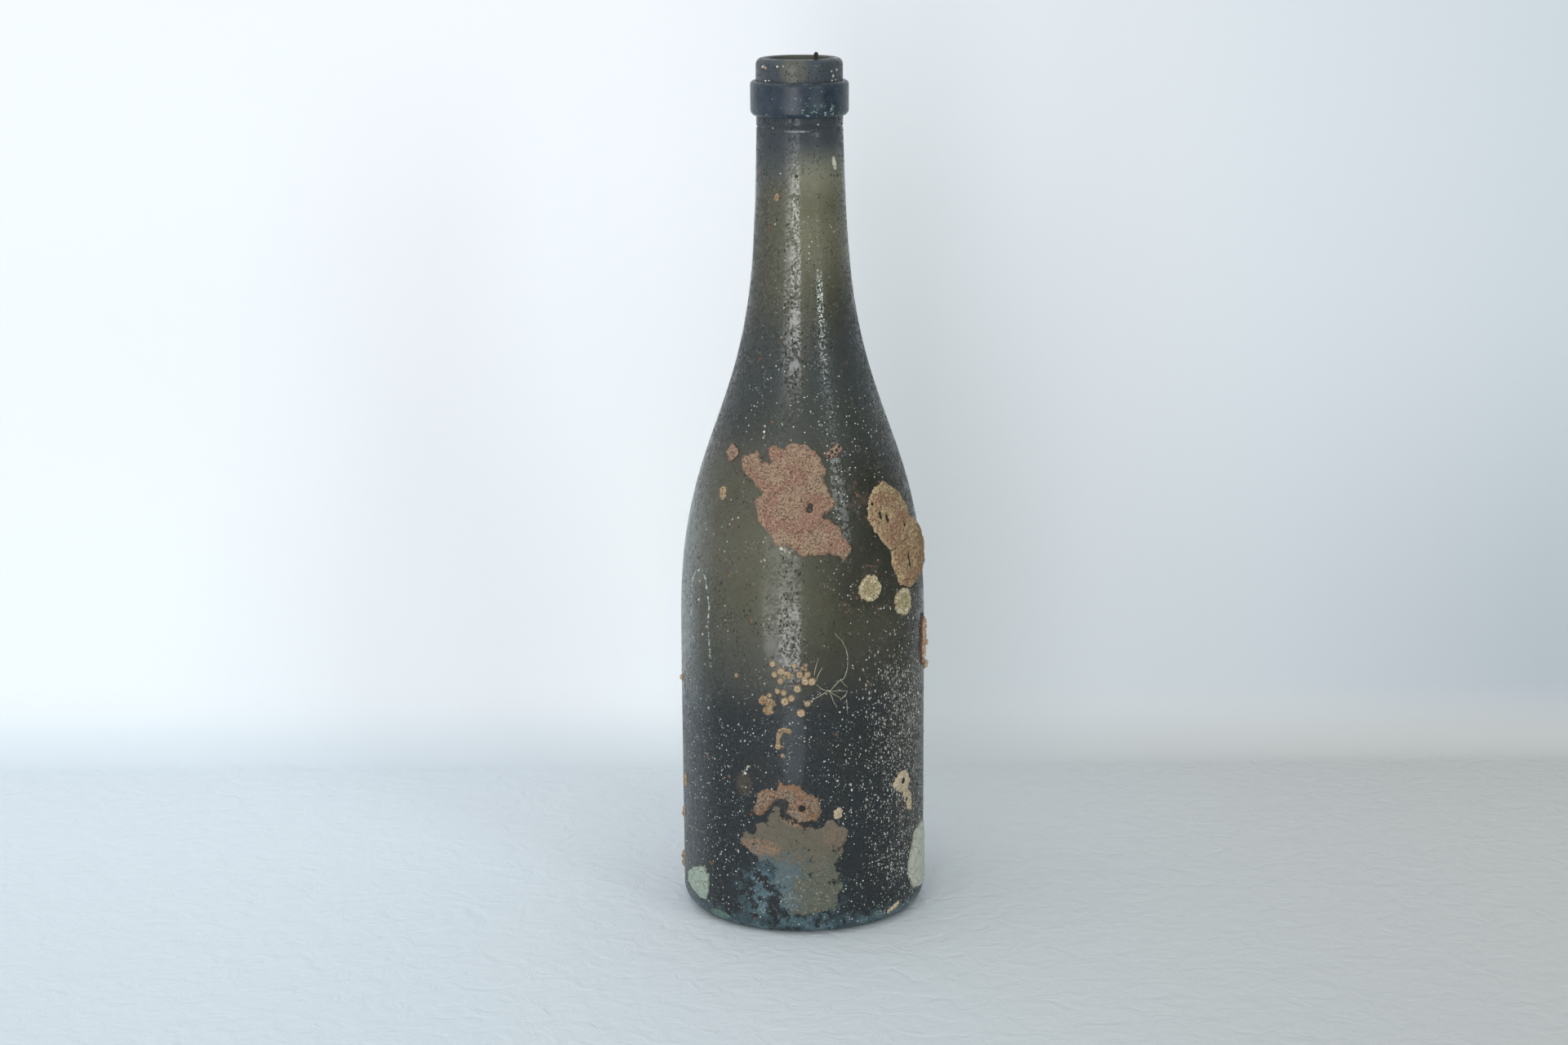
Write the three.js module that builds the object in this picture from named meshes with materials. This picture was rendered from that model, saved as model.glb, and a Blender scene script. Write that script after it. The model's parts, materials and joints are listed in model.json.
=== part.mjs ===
// A small old wine bottle of dark olive glass, blown and lifted from the sea floor.
// It has a pushed-up base, a long sloping shoulder, a separate ring of glass wound on below
// the lip, and the crusts, barnacles and lime flakes that grew on its outside.
// Millimetres, +Z up. The origin is the centre of the base, on the table. -Y is the front.

import * as THREE from "three";
import { mergeVertices } from "three/addons/utils/BufferGeometryUtils.js";

// Heights of the bottle, stacked from the table to the lip
const sideHeight = 86.8;
const shoulderHeight = 100;
const neckHeight = 48.9;
const ringHeight = 9.9;
const lipHeight = 6.4;

// Radii of the bottle's outside
const bodyRadius = 36.2;
const neckRadius = 12.45;

// How much wider the neck is at its foot, where the shoulder ends, than at the ring,
// and how far the ring stands out from the neck
const neckFlare = 2.4;
const ringReach = 1.8;

// Thickness of the glass, and the base pushed up into the body
const wall = 3.6;
const neckWall = 3.7;
const baseThickness = 5.5;
const heelThickness = 9;
const puntDepth = 23;
const restWidth = 2.9;

// Rounded edges
const heelRound = 5.6;
const insideHeelRound = 4.5;
const lipRound = 1.9;
const mouthRound = 0.6;
const ringTopRound = 1.2;
const ringFootRound = 1.6;

// How full the shoulder's curve is: how far it carries on upright, and how it eases into the neck
const shoulderFullness = 49.8;
const shoulderEase = 40.9;
const neckFootSlope = 0.122;
const neckEase = 14.5;

// The tooling mark that runs round the neck below the ring
const toolMarkDrop = 3.1;
const toolMarkDepth = 0.25;
const toolMarkWidth = 0.7;

// Running clearance between pieces that touch on the real bottle
const seat = 0.3;

// Facets
const roundSteps = 48;
const shoulderSteps = 12;
const neckSteps = 5;
const puntSteps = 5;
const cornerSteps = 3;

// Levels and radii worked out from the sizes above
const neckFootRadius = neckRadius + neckFlare;
const ringRadius = neckRadius + ringReach;
const neckFootLevel = sideHeight + shoulderHeight;
const ringFootLevel = neckFootLevel + neckHeight;
const ringTopLevel = ringFootLevel + ringHeight;
const lipLevel = ringTopLevel + lipHeight;
const toolMarkLevel = ringFootLevel - toolMarkDrop;

// The inside is lowest in a round valley between the wall and the pushed-up base
const valleyRadius = bodyRadius - wall - insideHeelRound;

// Points on a quarter of a circle, from one angle to the other, in degrees
function corner(centreRadius, centreLevel, round, fromAngle, toAngle) {
  const points = [];
  for (let step = 0; step <= cornerSteps; step += 1) {
    const angle = THREE.MathUtils.degToRad(fromAngle + ((toAngle - fromAngle) * step) / cornerSteps);
    points.push(
      new THREE.Vector2(centreRadius + round * Math.cos(angle), centreLevel + round * Math.sin(angle)),
    );
  }
  return points;
}

// The outside of the shoulder and neck: an S of two smooth curves
function shoulderAndNeck() {
  const shoulder = new THREE.CubicBezierCurve(
    new THREE.Vector2(bodyRadius, sideHeight),
    new THREE.Vector2(bodyRadius, sideHeight + shoulderFullness),
    new THREE.Vector2(neckFootRadius + neckFootSlope * shoulderEase, neckFootLevel - shoulderEase),
    new THREE.Vector2(neckFootRadius, neckFootLevel),
  );
  const neck = new THREE.QuadraticBezierCurve(
    new THREE.Vector2(neckFootRadius, neckFootLevel),
    new THREE.Vector2(neckFootRadius - neckFootSlope * neckEase, neckFootLevel + neckEase),
    new THREE.Vector2(neckRadius, toolMarkLevel - toolMarkWidth / 2),
  );
  return [...shoulder.getPoints(shoulderSteps), ...neck.getPoints(neckSteps).slice(1)];
}

// The outside of the glass from the rest ring to the edge of the lip
function outsideProfile() {
  return [
    ...corner(bodyRadius - heelRound, heelRound, heelRound, -90, 0),
    ...shoulderAndNeck(),
    new THREE.Vector2(neckRadius - toolMarkDepth, toolMarkLevel),
    new THREE.Vector2(neckRadius, toolMarkLevel + toolMarkWidth / 2),
    ...corner(neckRadius - lipRound, lipLevel - lipRound, lipRound, 0, 90),
  ];
}

// The inside of the glass from the mouth down to the floor, a wall's thickness in from the outside
function insideProfile() {
  const curve = shoulderAndNeck();
  const inside = [];
  curve.forEach((point, index) => {
    const before = curve[Math.max(index - 1, 0)];
    const after = curve[Math.min(index + 1, curve.length - 1)];
    const along = after.clone().sub(before).normalize();
    const neckShare = (bodyRadius - point.x) / (bodyRadius - neckRadius);
    const thickness = THREE.MathUtils.lerp(wall, neckWall, neckShare);
    inside.push(new THREE.Vector2(point.x - along.y * thickness, point.y + along.x * thickness));
  });
  const valleyLevel = heelThickness + insideHeelRound;
  return [
    ...corner(neckRadius - neckWall + mouthRound, lipLevel - mouthRound, mouthRound, 90, 180),
    ...inside.reverse(),
    ...corner(valleyRadius, valleyLevel, insideHeelRound, 0, -90),
  ];
}

// Half of the domed base, from its rim to its top on the axis
function dome(rimRadius, rimLevel, topLevel) {
  const points = [];
  for (let step = 1; step <= puntSteps; step += 1) {
    const share = step / puntSteps;
    const level = THREE.MathUtils.lerp(rimLevel, topLevel, Math.sin((share * Math.PI) / 2));
    points.push(new THREE.Vector2(rimRadius * Math.cos((share * Math.PI) / 2), level));
  }
  points[points.length - 1].x = 0;
  return points;
}

// Turns a profile of (radius, level) points about the Z axis
function revolve(profile) {
  const geometry = new THREE.LatheGeometry(profile, roundSteps);
  geometry.rotateX(Math.PI / 2);
  geometry.deleteAttribute("normal");
  geometry.deleteAttribute("uv");
  return mergeVertices(geometry, 1e-4);
}

function glassBody() {
  const restOuter = bodyRadius - heelRound;
  const restInner = restOuter - restWidth;
  const underside = dome(restInner, 0, puntDepth).reverse();
  const floor = dome(valleyRadius, heelThickness, puntDepth + baseThickness);
  return revolve([
    ...underside,
    new THREE.Vector2(restInner, 0),
    ...outsideProfile(),
    ...insideProfile(),
    ...floor,
  ]);
}

// The ring of glass wound round the neck just below the lip, with tooled edges
function stringRing() {
  const innerRadius = neckRadius + seat;
  const foot = ringFootLevel;
  const top = ringTopLevel;
  return revolve([
    new THREE.Vector2(innerRadius, top),
    new THREE.Vector2(innerRadius, foot),
    ...corner(ringRadius - ringFootRound, foot + ringFootRound, ringFootRound, -90, 0),
    ...corner(ringRadius - ringTopRound, top - ringTopRound, ringTopRound, 0, 90),
    new THREE.Vector2(innerRadius, top),
  ]);
}

// The radius of the glass at a level, read from the profile that it is made with
const glassSide = outsideProfile();
function glassRadius(level) {
  const above = glassSide.findIndex((point) => point.y > level);
  if (above <= 0) {
    return glassSide[above === 0 ? 0 : glassSide.length - 1].x;
  }
  const low = glassSide[above - 1];
  const high = glassSide[above];
  return THREE.MathUtils.mapLinear(level, low.y, high.y, low.x, high.x);
}

// A point at a distance around the glass from the line above its front, lifted square to the glass.
// The distance around is measured along the glass at its own level.
function onGlass(around, level, lift) {
  const radius = glassRadius(level);
  const slope = (glassRadius(level + 1) - glassRadius(level - 1)) / 2;
  const steep = Math.hypot(1, slope);
  const reach = radius + lift / steep;
  const angle = around / radius;
  return new THREE.Vector3(
    reach * Math.sin(angle),
    -reach * Math.cos(angle),
    level - (lift * slope) / steep,
  );
}

// Rises on a growth, from its rim to its middle: [share of the way out, share of its thickness]
const crustRise = [[1, 0.3], [0.86, 0.62], [0.62, 0.75], [0.32, 0.75]];
const shellRise = [[1, 0.2], [0.6, 1], [0.32, 0.4]];
const saucerRise = [[1, 0.5], [0.86, 1], [0.66, 0.6], [0.3, 0.5]];
const flakeRise = [[1, 0.6], [0.9, 1], [0.5, 1]];
const knobRise = [[1, 0.3], [0.75, 0.85]];

// A growth that reaches further than this from its middle gets more than one ring below
const wideGrowth = 4;

// How much of its thickness a lobed growth swells by over each lobe
const lobeSwell = 0.25;

// How far a growth reaches in one direction: to the far side of the last lobe that the direction
// crosses. Each lobe is [across, up, radius], and spread says how much wider than tall they are.
function reachOf(lobes, spread, angle) {
  const across = Math.cos(angle) / spread;
  const up = Math.sin(angle);
  const even = across * across + up * up;
  let reach = 0;
  for (const [x, y, radius] of lobes) {
    const middle = (x / spread) * across + y * up;
    const rest = (x / spread) ** 2 + y * y - radius * radius;
    const inside = middle * middle - even * rest;
    if (inside > 0) {
      reach = Math.max(reach, (middle + Math.sqrt(inside)) / even);
    }
  }
  return reach;
}

// How high a lobed crust stands at a point, from 0 to 1: the highest of the domes over its lobes
function lobeRise(lobes, spread, x, y) {
  const domes = lobes.map(([lobeX, lobeY, radius]) => {
    const away = Math.hypot((x - lobeX) / spread, y - lobeY) / radius;
    return Math.max(0, 1 - away * away);
  });
  return Math.sqrt(Math.max(...domes));
}

// Joins rings of points into one closed skin, with a fan at each end
function closedSkin(rings, firstPole, lastPole) {
  const count = rings[0].length;
  const points = [firstPole, ...rings.flat(), lastPole];
  const last = points.length - 1;
  const faces = [];
  for (let step = 0; step < count; step += 1) {
    const next = (step + 1) % count;
    faces.push(0, 1 + next, 1 + step);
    for (let ring = 0; ring + 1 < rings.length; ring += 1) {
      const near = 1 + ring * count;
      const far = near + count;
      faces.push(near + step, far + next, far + step);
      faces.push(near + step, near + next, far + next);
    }
    faces.push(last - count + step, last - count + next, last);
  }
  const geometry = new THREE.BufferGeometry();
  geometry.setFromPoints(points);
  geometry.setIndex(faces);
  return geometry;
}

// The rim of a growth made of lobes, as points around its middle
function lobedRim(lobes, spread, spokes) {
  return Array.from({ length: spokes }, (_, spoke) => {
    const angle = (spoke / spokes) * 2 * Math.PI;
    const reach = reachOf(lobes, spread, angle);
    return [reach * Math.cos(angle), reach * Math.sin(angle)];
  });
}

// The rim of a growth drawn by its outline, with a point more on the middle of each side
function drawnRim(outline) {
  return outline.flatMap(([x, y], index) => {
    const [nextX, nextY] = outline[(index + 1) % outline.length];
    return [[x, y], [(x + nextX) / 2, (y + nextY) / 2]];
  });
}

// A growth that spreads from its middle: a rounded skin inside its rim, seated on the glass.
// Each ring of the skin is the rim drawn smaller, and a wide growth follows the glass below too.
function spreadGrowth({ around, level, rim, rise, thickness, lump = () => 0 }) {
  const middleAngle = around / glassRadius(level);
  const place = (x, y, lift) => {
    const radius = glassRadius(level + y);
    const above = lift > 0 ? thickness * (lift + lump(x, y)) : 0;
    return onGlass(middleAngle * radius + x, level + y, seat + above);
  };
  const ringOf = (share, lift) => rim.map(([x, y]) => place(x * share, y * share, lift));
  const wide = Math.max(...rim.map((point) => Math.hypot(...point))) > wideGrowth;
  const under = wide ? [...rise].reverse() : [rise[0]];
  const rings = [
    ...under.map(([share]) => ringOf(share, 0)),
    ...rise.map(([share, lift]) => ringOf(share, lift)),
  ];
  return closedSkin(rings, place(0, 0, 0), place(0, 0, rise[rise.length - 1][1]));
}

// A growth that runs along a line of lobes: a rounded ridge whose width follows them
function ridgeGrowth({ around, level, lobes, thickness, steps = 3 * lobes.length }) {
  const middleAngle = around / glassRadius(level);
  const line = new THREE.CatmullRomCurve3(lobes.map((lobe) => new THREE.Vector3(...lobe)));
  const section = [[-1, 0], [1, 0], [1, 0.4], [0.5, 1], [-0.5, 1], [-1, 0.4]];
  const place = (across, up, lift) => {
    const radius = glassRadius(level + up);
    return onGlass(middleAngle * radius + across, level + up, seat + thickness * lift);
  };
  const rings = [];
  for (let step = 0; step <= steps; step += 1) {
    const point = line.getPoint(step / steps);
    const along = line.getTangent(step / steps).setZ(0).normalize();
    rings.push(
      section.map(([side, lift]) =>
        place(point.x - along.y * side * point.z, point.y + along.x * side * point.z, lift),
      ),
    );
  }
  const [firstX, firstY] = lobes[0];
  const [lastX, lastY] = lobes[lobes.length - 1];
  return closedSkin(rings, place(firstX, firstY, 0.5), place(lastX, lastY, 0.5));
}

// Finishes
const finishes = {
  bottle_glass: { color: 0x2b3129, roughness: 0.3 },
  pink_crust: { color: 0xa08670, roughness: 0.95 },
  brown_crust: { color: 0x8d7b5f, roughness: 0.95 },
  olive_skin: { color: 0x77705a, roughness: 0.95 },
  barnacle_shell: { color: 0xb9a27c, roughness: 0.85 },
  lime_flake: { color: 0x94998a, roughness: 0.9 },
  yellow_crust: { color: 0xa98f5c, roughness: 0.9 },
};

const bottle = new THREE.Group();

function addPiece(name, finish, geometry) {
  const material = new THREE.MeshStandardMaterial({ ...finishes[finish], metalness: 0 });
  const piece = new THREE.Mesh(geometry, material);
  piece.name = name;
  bottle.add(piece);
}

addPiece("glass_body", "bottle_glass", glassBody());
addPiece("string_ring", "bottle_glass", stringRing());

// Large crusts, drawn by their outlines: [across, up] from the middle of each, in order around it.
// around is measured from the line down the bottle's front, level from the table.
const crusts = {
  upper_crust: {
    finish: "pink_crust",
    around: -3.2,
    level: sideHeight + 42.7,
    thickness: 1.4,
    outline: [
      [11.5, 0.5], [8.5, 5.7], [9.9, 7.9], [7.6, 11.8], [4.2, 14.9], [-1.4, 15.3], [-2.2, 13.5],
      [-5.4, 14.7], [-7.4, 13.5], [-6.7, 10], [-8, 9.9], [-11, 12.4], [-16, 10.6], [-15.8, 7.3],
      [-12.3, 5.3], [-8.7, 1.4], [-11, -1.1], [-10, -6.2], [-5.7, -10.1], [-4.2, -13.3],
      [-0.2, -12.9], [3.3, -15.8], [11.7, -14.9], [15.7, -17.5], [17.4, -14.9], [13.3, -7.7],
      [9.4, -4.8], [13, -1.4],
    ],
  },
  shoulder_crust: {
    finish: "brown_crust",
    around: 26.8,
    level: sideHeight + 36.9,
    thickness: 1.5,
    outline: [
      [11.4, -3.5], [10.6, -0.1], [8.1, 4.2], [4.7, 6.6], [1.3, 8.6], [-3.4, 7], [-6.1, 3.9],
      [-7.2, -0.4], [-5.4, -4.5], [-3.5, -7.4], [-0.3, -10.5], [1.8, -9.2], [5.3, -8.7], [8, -6.1],
    ],
  },
  side_crust: {
    finish: "brown_crust",
    around: 35.8,
    level: sideHeight + 22.5,
    thickness: 1.5,
    outline: [
      [18.7, 1.1], [12.9, 7.5], [7.1, 10.7], [2.2, 7.2], [-1, 5], [-3.8, 4.1], [-6.4, 2.9],
      [-7.1, -0.5], [-5.3, -4.2], [-4.1, -6.9], [1.1, -8.9], [7.8, -7.5], [14, -4.6],
    ],
  },
  olive_skin: {
    finish: "olive_skin",
    around: -2.2,
    level: 26.9,
    thickness: 0.6,
    outline: [
      [15.3, 2.7], [14.3, 5.6], [10.5, 8.7], [6.7, 6.6], [2.4, 7.5], [-2.1, 9.1], [-3.7, 12.5],
      [-7.1, 12.6], [-8.9, 7.2], [-11.7, 7.1], [-12.2, 3.8], [-15.1, 3.9], [-18.2, 2.3],
      [-16.8, -0.2], [-13.3, -2.6], [-11.5, -4.9], [-7.5, -5.9], [-6.1, -12.9], [-3.3, -19.6],
      [3.4, -20.8], [11.2, -19.6], [13.2, -13.1], [12.2, -5.5], [13.2, -0.6],
    ],
  },
};

// Small growths, drawn by their lobes: [across, up, radius] from the middle of each
const clumps = {
  pink_knob: {
    finish: "pink_crust",
    around: -22.6,
    level: sideHeight + 54.2,
    thickness: 1.2,
    lobes: [[-0.4, 1.1, 1.4], [-1, -0.2, 1.4], [1.1, -0.1, 1.4], [0.5, -1.5, 1.2]],
  },
  porous_knob: {
    finish: "pink_crust",
    around: 8.4,
    level: sideHeight + 54.8,
    thickness: 1.2,
    lobes: [[-0.7, -0.2, 1.2], [0.5, 0.4, 1.6], [1.9, 1.4, 1.4]],
  },
  orange_crumb: {
    finish: "brown_crust",
    around: -25.9,
    level: sideHeight + 42.7,
    thickness: 0.9,
    lobes: [[-0.2, 0.7, 1.2], [0.2, -0.7, 1.2]],
  },
  low_knob: {
    finish: "brown_crust",
    around: 9.8,
    level: 37.4,
    thickness: 1,
    lobes: [[0, -0.6, 1.2], [0.3, 0.4, 1.1]],
  },
  barnacle_cluster_left: {
    finish: "barnacle_shell",
    around: -5.7,
    level: 79.3,
    thickness: 1.1,
    lobes: [[-0.7, 1, 0.9], [-0.2, -0.2, 0.9], [1.3, 0, 1.1]],
  },
  barnacle_cluster_right: {
    finish: "barnacle_shell",
    around: 0.7,
    level: 78.6,
    thickness: 1.2,
    lobes: [[-1.6, 1, 1], [-0.3, -0.5, 1.2], [1.6, -1, 1.2]],
  },
  barnacle_cluster_middle: {
    finish: "barnacle_shell",
    around: -5.6,
    level: 72.6,
    thickness: 1.1,
    lobes: [[-1.9, 1.7, 0.8], [-0.1, 1.2, 0.9], [0, -1.1, 1.2], [2, -0.2, 1]],
  },
  folded_lump: {
    finish: "yellow_crust",
    around: -10.5,
    level: 70.1,
    thickness: 1.5,
    lobes: [[-1.1, 1.2, 1.4], [1, 0.4, 1.3], [0.1, -1.7, 1.5]],
  },
};
const clumpSpokes = 12;

// Thin flakes of lime, flat on the glass, drawn by their lobes
const flakes = {
  lime_flake_left: {
    around: -37.3,
    level: 10.5,
    spokes: 16,
    lobes: [[0.5, 0.5, 4.6], [-4, 0.6, 3.2], [2, 2.2, 3.8], [1.8, -1.8, 3.2]],
  },
  lime_flake_right: {
    around: 42.6,
    level: 16.5,
    spokes: 22,
    lobes: [
      [3.5, 1.5, 7.2], [-1.5, -1, 5.6], [7.5, 2.5, 6], [8.5, -4, 5.6], [9.5, -7, 3.6],
      [2, -5, 5],
    ],
  },
  neck_flake: {
    around: 10.8,
    level: ringFootLevel - 13,
    spokes: 10,
    lobes: [[0, 0.6, 1.3], [0.2, -0.6, 1.3]],
  },
};
const flakeThickness = 0.45;

// Growths that run along a line, drawn by lobes strung along it
const ridges = {
  lower_arch: {
    finish: "pink_crust",
    around: -4.5,
    level: 40.5,
    thickness: 1.4,
    lobes: [
      [-9.1, -2.8, 1.3], [-8, 0.4, 1.9], [-5.6, 2.5, 1.9], [-2.6, 3.9, 2.1], [0.9, 3.8, 2.1],
      [4.3, 1.8, 2.2], [7, -0.5, 2.3], [7.2, -3.2, 2],
    ],
  },
  hook_crust: {
    finish: "barnacle_shell",
    around: -6.2,
    level: 61.6,
    thickness: 1,
    lobes: [[-1.2, -1.5, 0.6], [-1, -0.6, 0.8], [-0.7, 0.7, 0.8], [0.6, 1.2, 0.8], [2, 0.5, 0.7]],
  },
  yellow_crust: {
    finish: "yellow_crust",
    around: 32.3,
    level: 41.9,
    thickness: 0.9,
    lobes: [[-0.8, 2.4, 1.5], [1, 0.8, 1.7], [2.4, -2.2, 1.3], [4.6, -5.6, 1.9], [4.6, -8, 1.2]],
  },
  edge_strip: {
    finish: "pink_crust",
    around: 50.3,
    level: 82,
    thickness: 1.6,
    lobes: [[-0.6, 5.6, 2.2], [0, 2, 2.4], [-0.6, -2, 2], [-1.2, -5.6, 1.5]],
  },
  worm_tube: {
    finish: "lime_flake",
    around: -32.1,
    level: sideHeight + 6.4,
    thickness: 0.45,
    lobes: [
      [-8.6, -1, 0.4], [-8.6, 8, 0.4], [-6.6, 12.2, 0.4], [-3.6, 13.2, 0.4], [-1.2, 11.2, 0.4],
      [0.8, 4, 0.4], [1, -5.5, 0.4], [1.7, -14.4, 0.4],
    ],
  },
};

// Single barnacles, open at the top: [around, level, radius, height]
const barnacles = [
  [-8.9, 82.4, 0.9, 0.8],
  [-2.6, 82, 0.8, 0.8],
  [-8.4, 79.3, 0.8, 0.8],
  [-6.7, 77.3, 0.8, 0.8],
  [-1.8, 75.2, 1.1, 1],
  [-9.9, 73, 0.7, 0.7],
  [1.1, 70.8, 0.9, 0.9],
  [-0.8, 68, 1.2, 1],
  [-7.5, 57.8, 0.9, 0.8],
  [-6.2, 55.1, 0.6, 0.6],
  [-20.5, 77.8, 0.6, 0.4],
  [54, 73.2, 1.5, 1.3],
  [55.4, 79.5, 1.2, 1.3],
  [-51.4, 70.3, 1, 0.8],
];
const barnacleSpokes = 8;

// Round base plates that larger barnacles left when they came off: [around, level, radius]
const basePlates = [
  [20.3, sideHeight + 16.4, 3.8],
  [33.8, sideHeight + 10.2, 4.1],
];
const basePlateThickness = 0.8;
const basePlateSpokes = 18;

// Low knobs of crust: [around, level, half width, half height, thickness]
const knobs = {
  neck_crumb: [-7.2, ringFootLevel - 22.4, 0.9, 1, 0.8],
  left_edge_knob: [-48.3, 39.3, 1.3, 2, 0.9],
  left_edge_scale: [-51.8, 28.5, 1.2, 1.8, 0.7],
  left_foot_tuft: [-55.6, 12.3, 1.6, 2.6, 1],
};
const knobSpokes = 9;

for (const [name, { finish, outline, ...crust }] of Object.entries(crusts)) {
  addPiece(name, finish, spreadGrowth({ ...crust, rim: drawnRim(outline), rise: crustRise }));
}
for (const [name, { finish, lobes, ...clump }] of Object.entries(clumps)) {
  const rim = lobedRim(lobes, 1, clumpSpokes);
  const lump = (x, y) => lobeSwell * lobeRise(lobes, 1, x, y);
  addPiece(name, finish, spreadGrowth({ ...clump, rim, lump, rise: crustRise }));
}
for (const [name, { lobes, spokes, ...flake }] of Object.entries(flakes)) {
  const rim = lobedRim(lobes, 1, spokes);
  const thickness = flakeThickness;
  addPiece(name, "lime_flake", spreadGrowth({ ...flake, rim, thickness, rise: flakeRise }));
}
for (const [name, { finish, ...ridge }] of Object.entries(ridges)) {
  addPiece(name, finish, ridgeGrowth(ridge));
}
barnacles.forEach(([around, level, radius, thickness], index) => {
  const rim = lobedRim([[0, 0, radius]], 1, barnacleSpokes);
  const shell = spreadGrowth({ around, level, rim, thickness, rise: shellRise });
  addPiece(`barnacle_${index + 1}`, "barnacle_shell", shell);
});
basePlates.forEach(([around, level, radius], index) => {
  const rim = lobedRim([[0, 0, radius]], 1, basePlateSpokes);
  const thickness = basePlateThickness;
  const plate = spreadGrowth({ around, level, rim, thickness, rise: saucerRise });
  addPiece(`barnacle_base_${index + 1}`, "barnacle_shell", plate);
});
for (const [name, [around, level, halfWidth, halfHeight, thickness]] of Object.entries(knobs)) {
  const rim = lobedRim([[0, 0, halfHeight]], halfWidth / halfHeight, knobSpokes);
  addPiece(name, "brown_crust", spreadGrowth({ around, level, rim, thickness, rise: knobRise }));
}

// A crumb of shell that stands on the flat of the lip
const crumbHeight = 1.9;
const crumbRadius = 0.5;
const crumbTaper = 0.6;
const crumbAngle = THREE.MathUtils.degToRad(28);
const crumbFromAxis = neckRadius - lipRound - crumbRadius;
const crumb = new THREE.CylinderGeometry(crumbTaper * crumbRadius, crumbRadius, crumbHeight, 8);
crumb.rotateX(Math.PI / 2);
crumb.translate(
  crumbFromAxis * Math.sin(crumbAngle),
  -crumbFromAxis * Math.cos(crumbAngle),
  lipLevel + seat + crumbHeight / 2,
);
addPiece("lip_crumb", "barnacle_shell", crumb);

export default bottle;
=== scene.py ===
# %% [markdown]
# # A small wine bottle lifted from the sea floor
# The bottle is dark olive glass, blown by mouth, with a ring of glass wound on below the lip. Years
# under water left its skin pitted and hazy, and crusts, barnacles and lime flakes grew on it.
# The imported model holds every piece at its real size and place. This lesson dresses it: it
# makes the fine surface of each piece, and the finish that each one has.

# %% Load the frame
import json
import math
import bpy
import numpy as np
from mathutils import Matrix, Vector, noise

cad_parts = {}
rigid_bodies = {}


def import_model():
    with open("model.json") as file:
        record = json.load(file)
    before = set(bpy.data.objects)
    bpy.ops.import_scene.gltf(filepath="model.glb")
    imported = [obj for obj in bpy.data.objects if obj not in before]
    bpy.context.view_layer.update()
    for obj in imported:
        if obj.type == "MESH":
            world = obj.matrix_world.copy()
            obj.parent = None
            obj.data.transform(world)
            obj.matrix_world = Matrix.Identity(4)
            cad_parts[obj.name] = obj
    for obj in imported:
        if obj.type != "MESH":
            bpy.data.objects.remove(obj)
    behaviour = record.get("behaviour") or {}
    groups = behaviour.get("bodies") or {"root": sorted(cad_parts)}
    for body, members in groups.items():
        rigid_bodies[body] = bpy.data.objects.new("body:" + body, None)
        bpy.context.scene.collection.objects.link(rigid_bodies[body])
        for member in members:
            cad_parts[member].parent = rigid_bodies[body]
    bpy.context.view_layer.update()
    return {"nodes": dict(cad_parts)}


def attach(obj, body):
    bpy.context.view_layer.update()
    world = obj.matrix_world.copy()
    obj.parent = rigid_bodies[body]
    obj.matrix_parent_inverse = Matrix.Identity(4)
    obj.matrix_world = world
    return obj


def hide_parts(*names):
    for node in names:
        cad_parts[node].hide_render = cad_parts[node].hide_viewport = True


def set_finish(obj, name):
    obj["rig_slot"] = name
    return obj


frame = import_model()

MM = 0.001
print("nodes in the frame:", len(frame["nodes"]))

# %% [markdown]
# ## The camera
# The photograph was taken from a little above the bottle's mouth, looking down by 13 degrees,
# from 0.86 m in front of the bottle's axis. The bottle stands just right of the middle of the
# picture, and the camera was turned by a fraction of a degree, so the bottle seems to lean.

# %% Camera
PHOTO_WIDTH = 1920
FOCAL_PIXELS = 3670
SENSOR_MM = 36
CAMERA_PLACE = (-0.00525, -0.8624, 0.3139)
LOOKS_DOWN_BY = 12.93
ROLL = -0.415

camera_data = bpy.data.cameras.new("camera")
camera_data.sensor_width = SENSOR_MM
camera_data.lens = FOCAL_PIXELS / PHOTO_WIDTH * SENSOR_MM
camera_data.clip_start = 0.01
camera = bpy.data.objects.new("camera", camera_data)
look_down = Matrix.Rotation(math.radians(90 - LOOKS_DOWN_BY), 4, "X")
turn = Matrix.Rotation(math.radians(ROLL), 4, "Z")
camera.matrix_world = Matrix.Translation(CAMERA_PLACE) @ look_down @ turn
bpy.context.scene.collection.objects.link(camera)
bpy.context.scene.camera = camera
bpy.context.scene.view_settings.view_transform = "Standard"
print("lens", round(camera_data.lens, 2), "mm")

# %% [markdown]
# ## Helpers for materials
# Colours are written as sRGB hex, as a paint chart gives them, and Blender works in linear
# light, so one function turns the first into the second. The next one begins a material, or
# the room. The third adds a node there: its settings go in by name, and each input takes a
# number, a colour, another node, or one output of a node.

# %% Material helpers
def colour(code):
    channels = [int(code[i:i + 2], 16) / 255 for i in (1, 3, 5)]
    linear = [c / 12.92 if c <= 0.04045 else ((c + 0.055) / 1.055) ** 2.4 for c in channels]
    return (*linear, 1.0)


def begin(owner):
    """Empty the nodes of a material or a world. New nodes go there until the next call."""
    global tree
    owner.use_nodes = True
    tree = owner.node_tree
    tree.nodes.clear()
    return owner


def node(kind, inputs=None, **settings):
    new = tree.nodes.new("ShaderNode" + kind)
    for name, value in settings.items():
        setattr(new, name, value)
    for name, value in (inputs or {}).items():
        if isinstance(value, str):
            value = colour(value)
        if isinstance(value, bpy.types.Node):
            value = next(output for output in value.outputs if output.enabled)
        if isinstance(value, bpy.types.NodeSocket):
            tree.links.new(value, new.inputs[name])
        else:
            new.inputs[name].default_value = value
    return new


print("mid grey in linear light:", [round(channel, 3) for channel in colour("#808080")])

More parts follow.
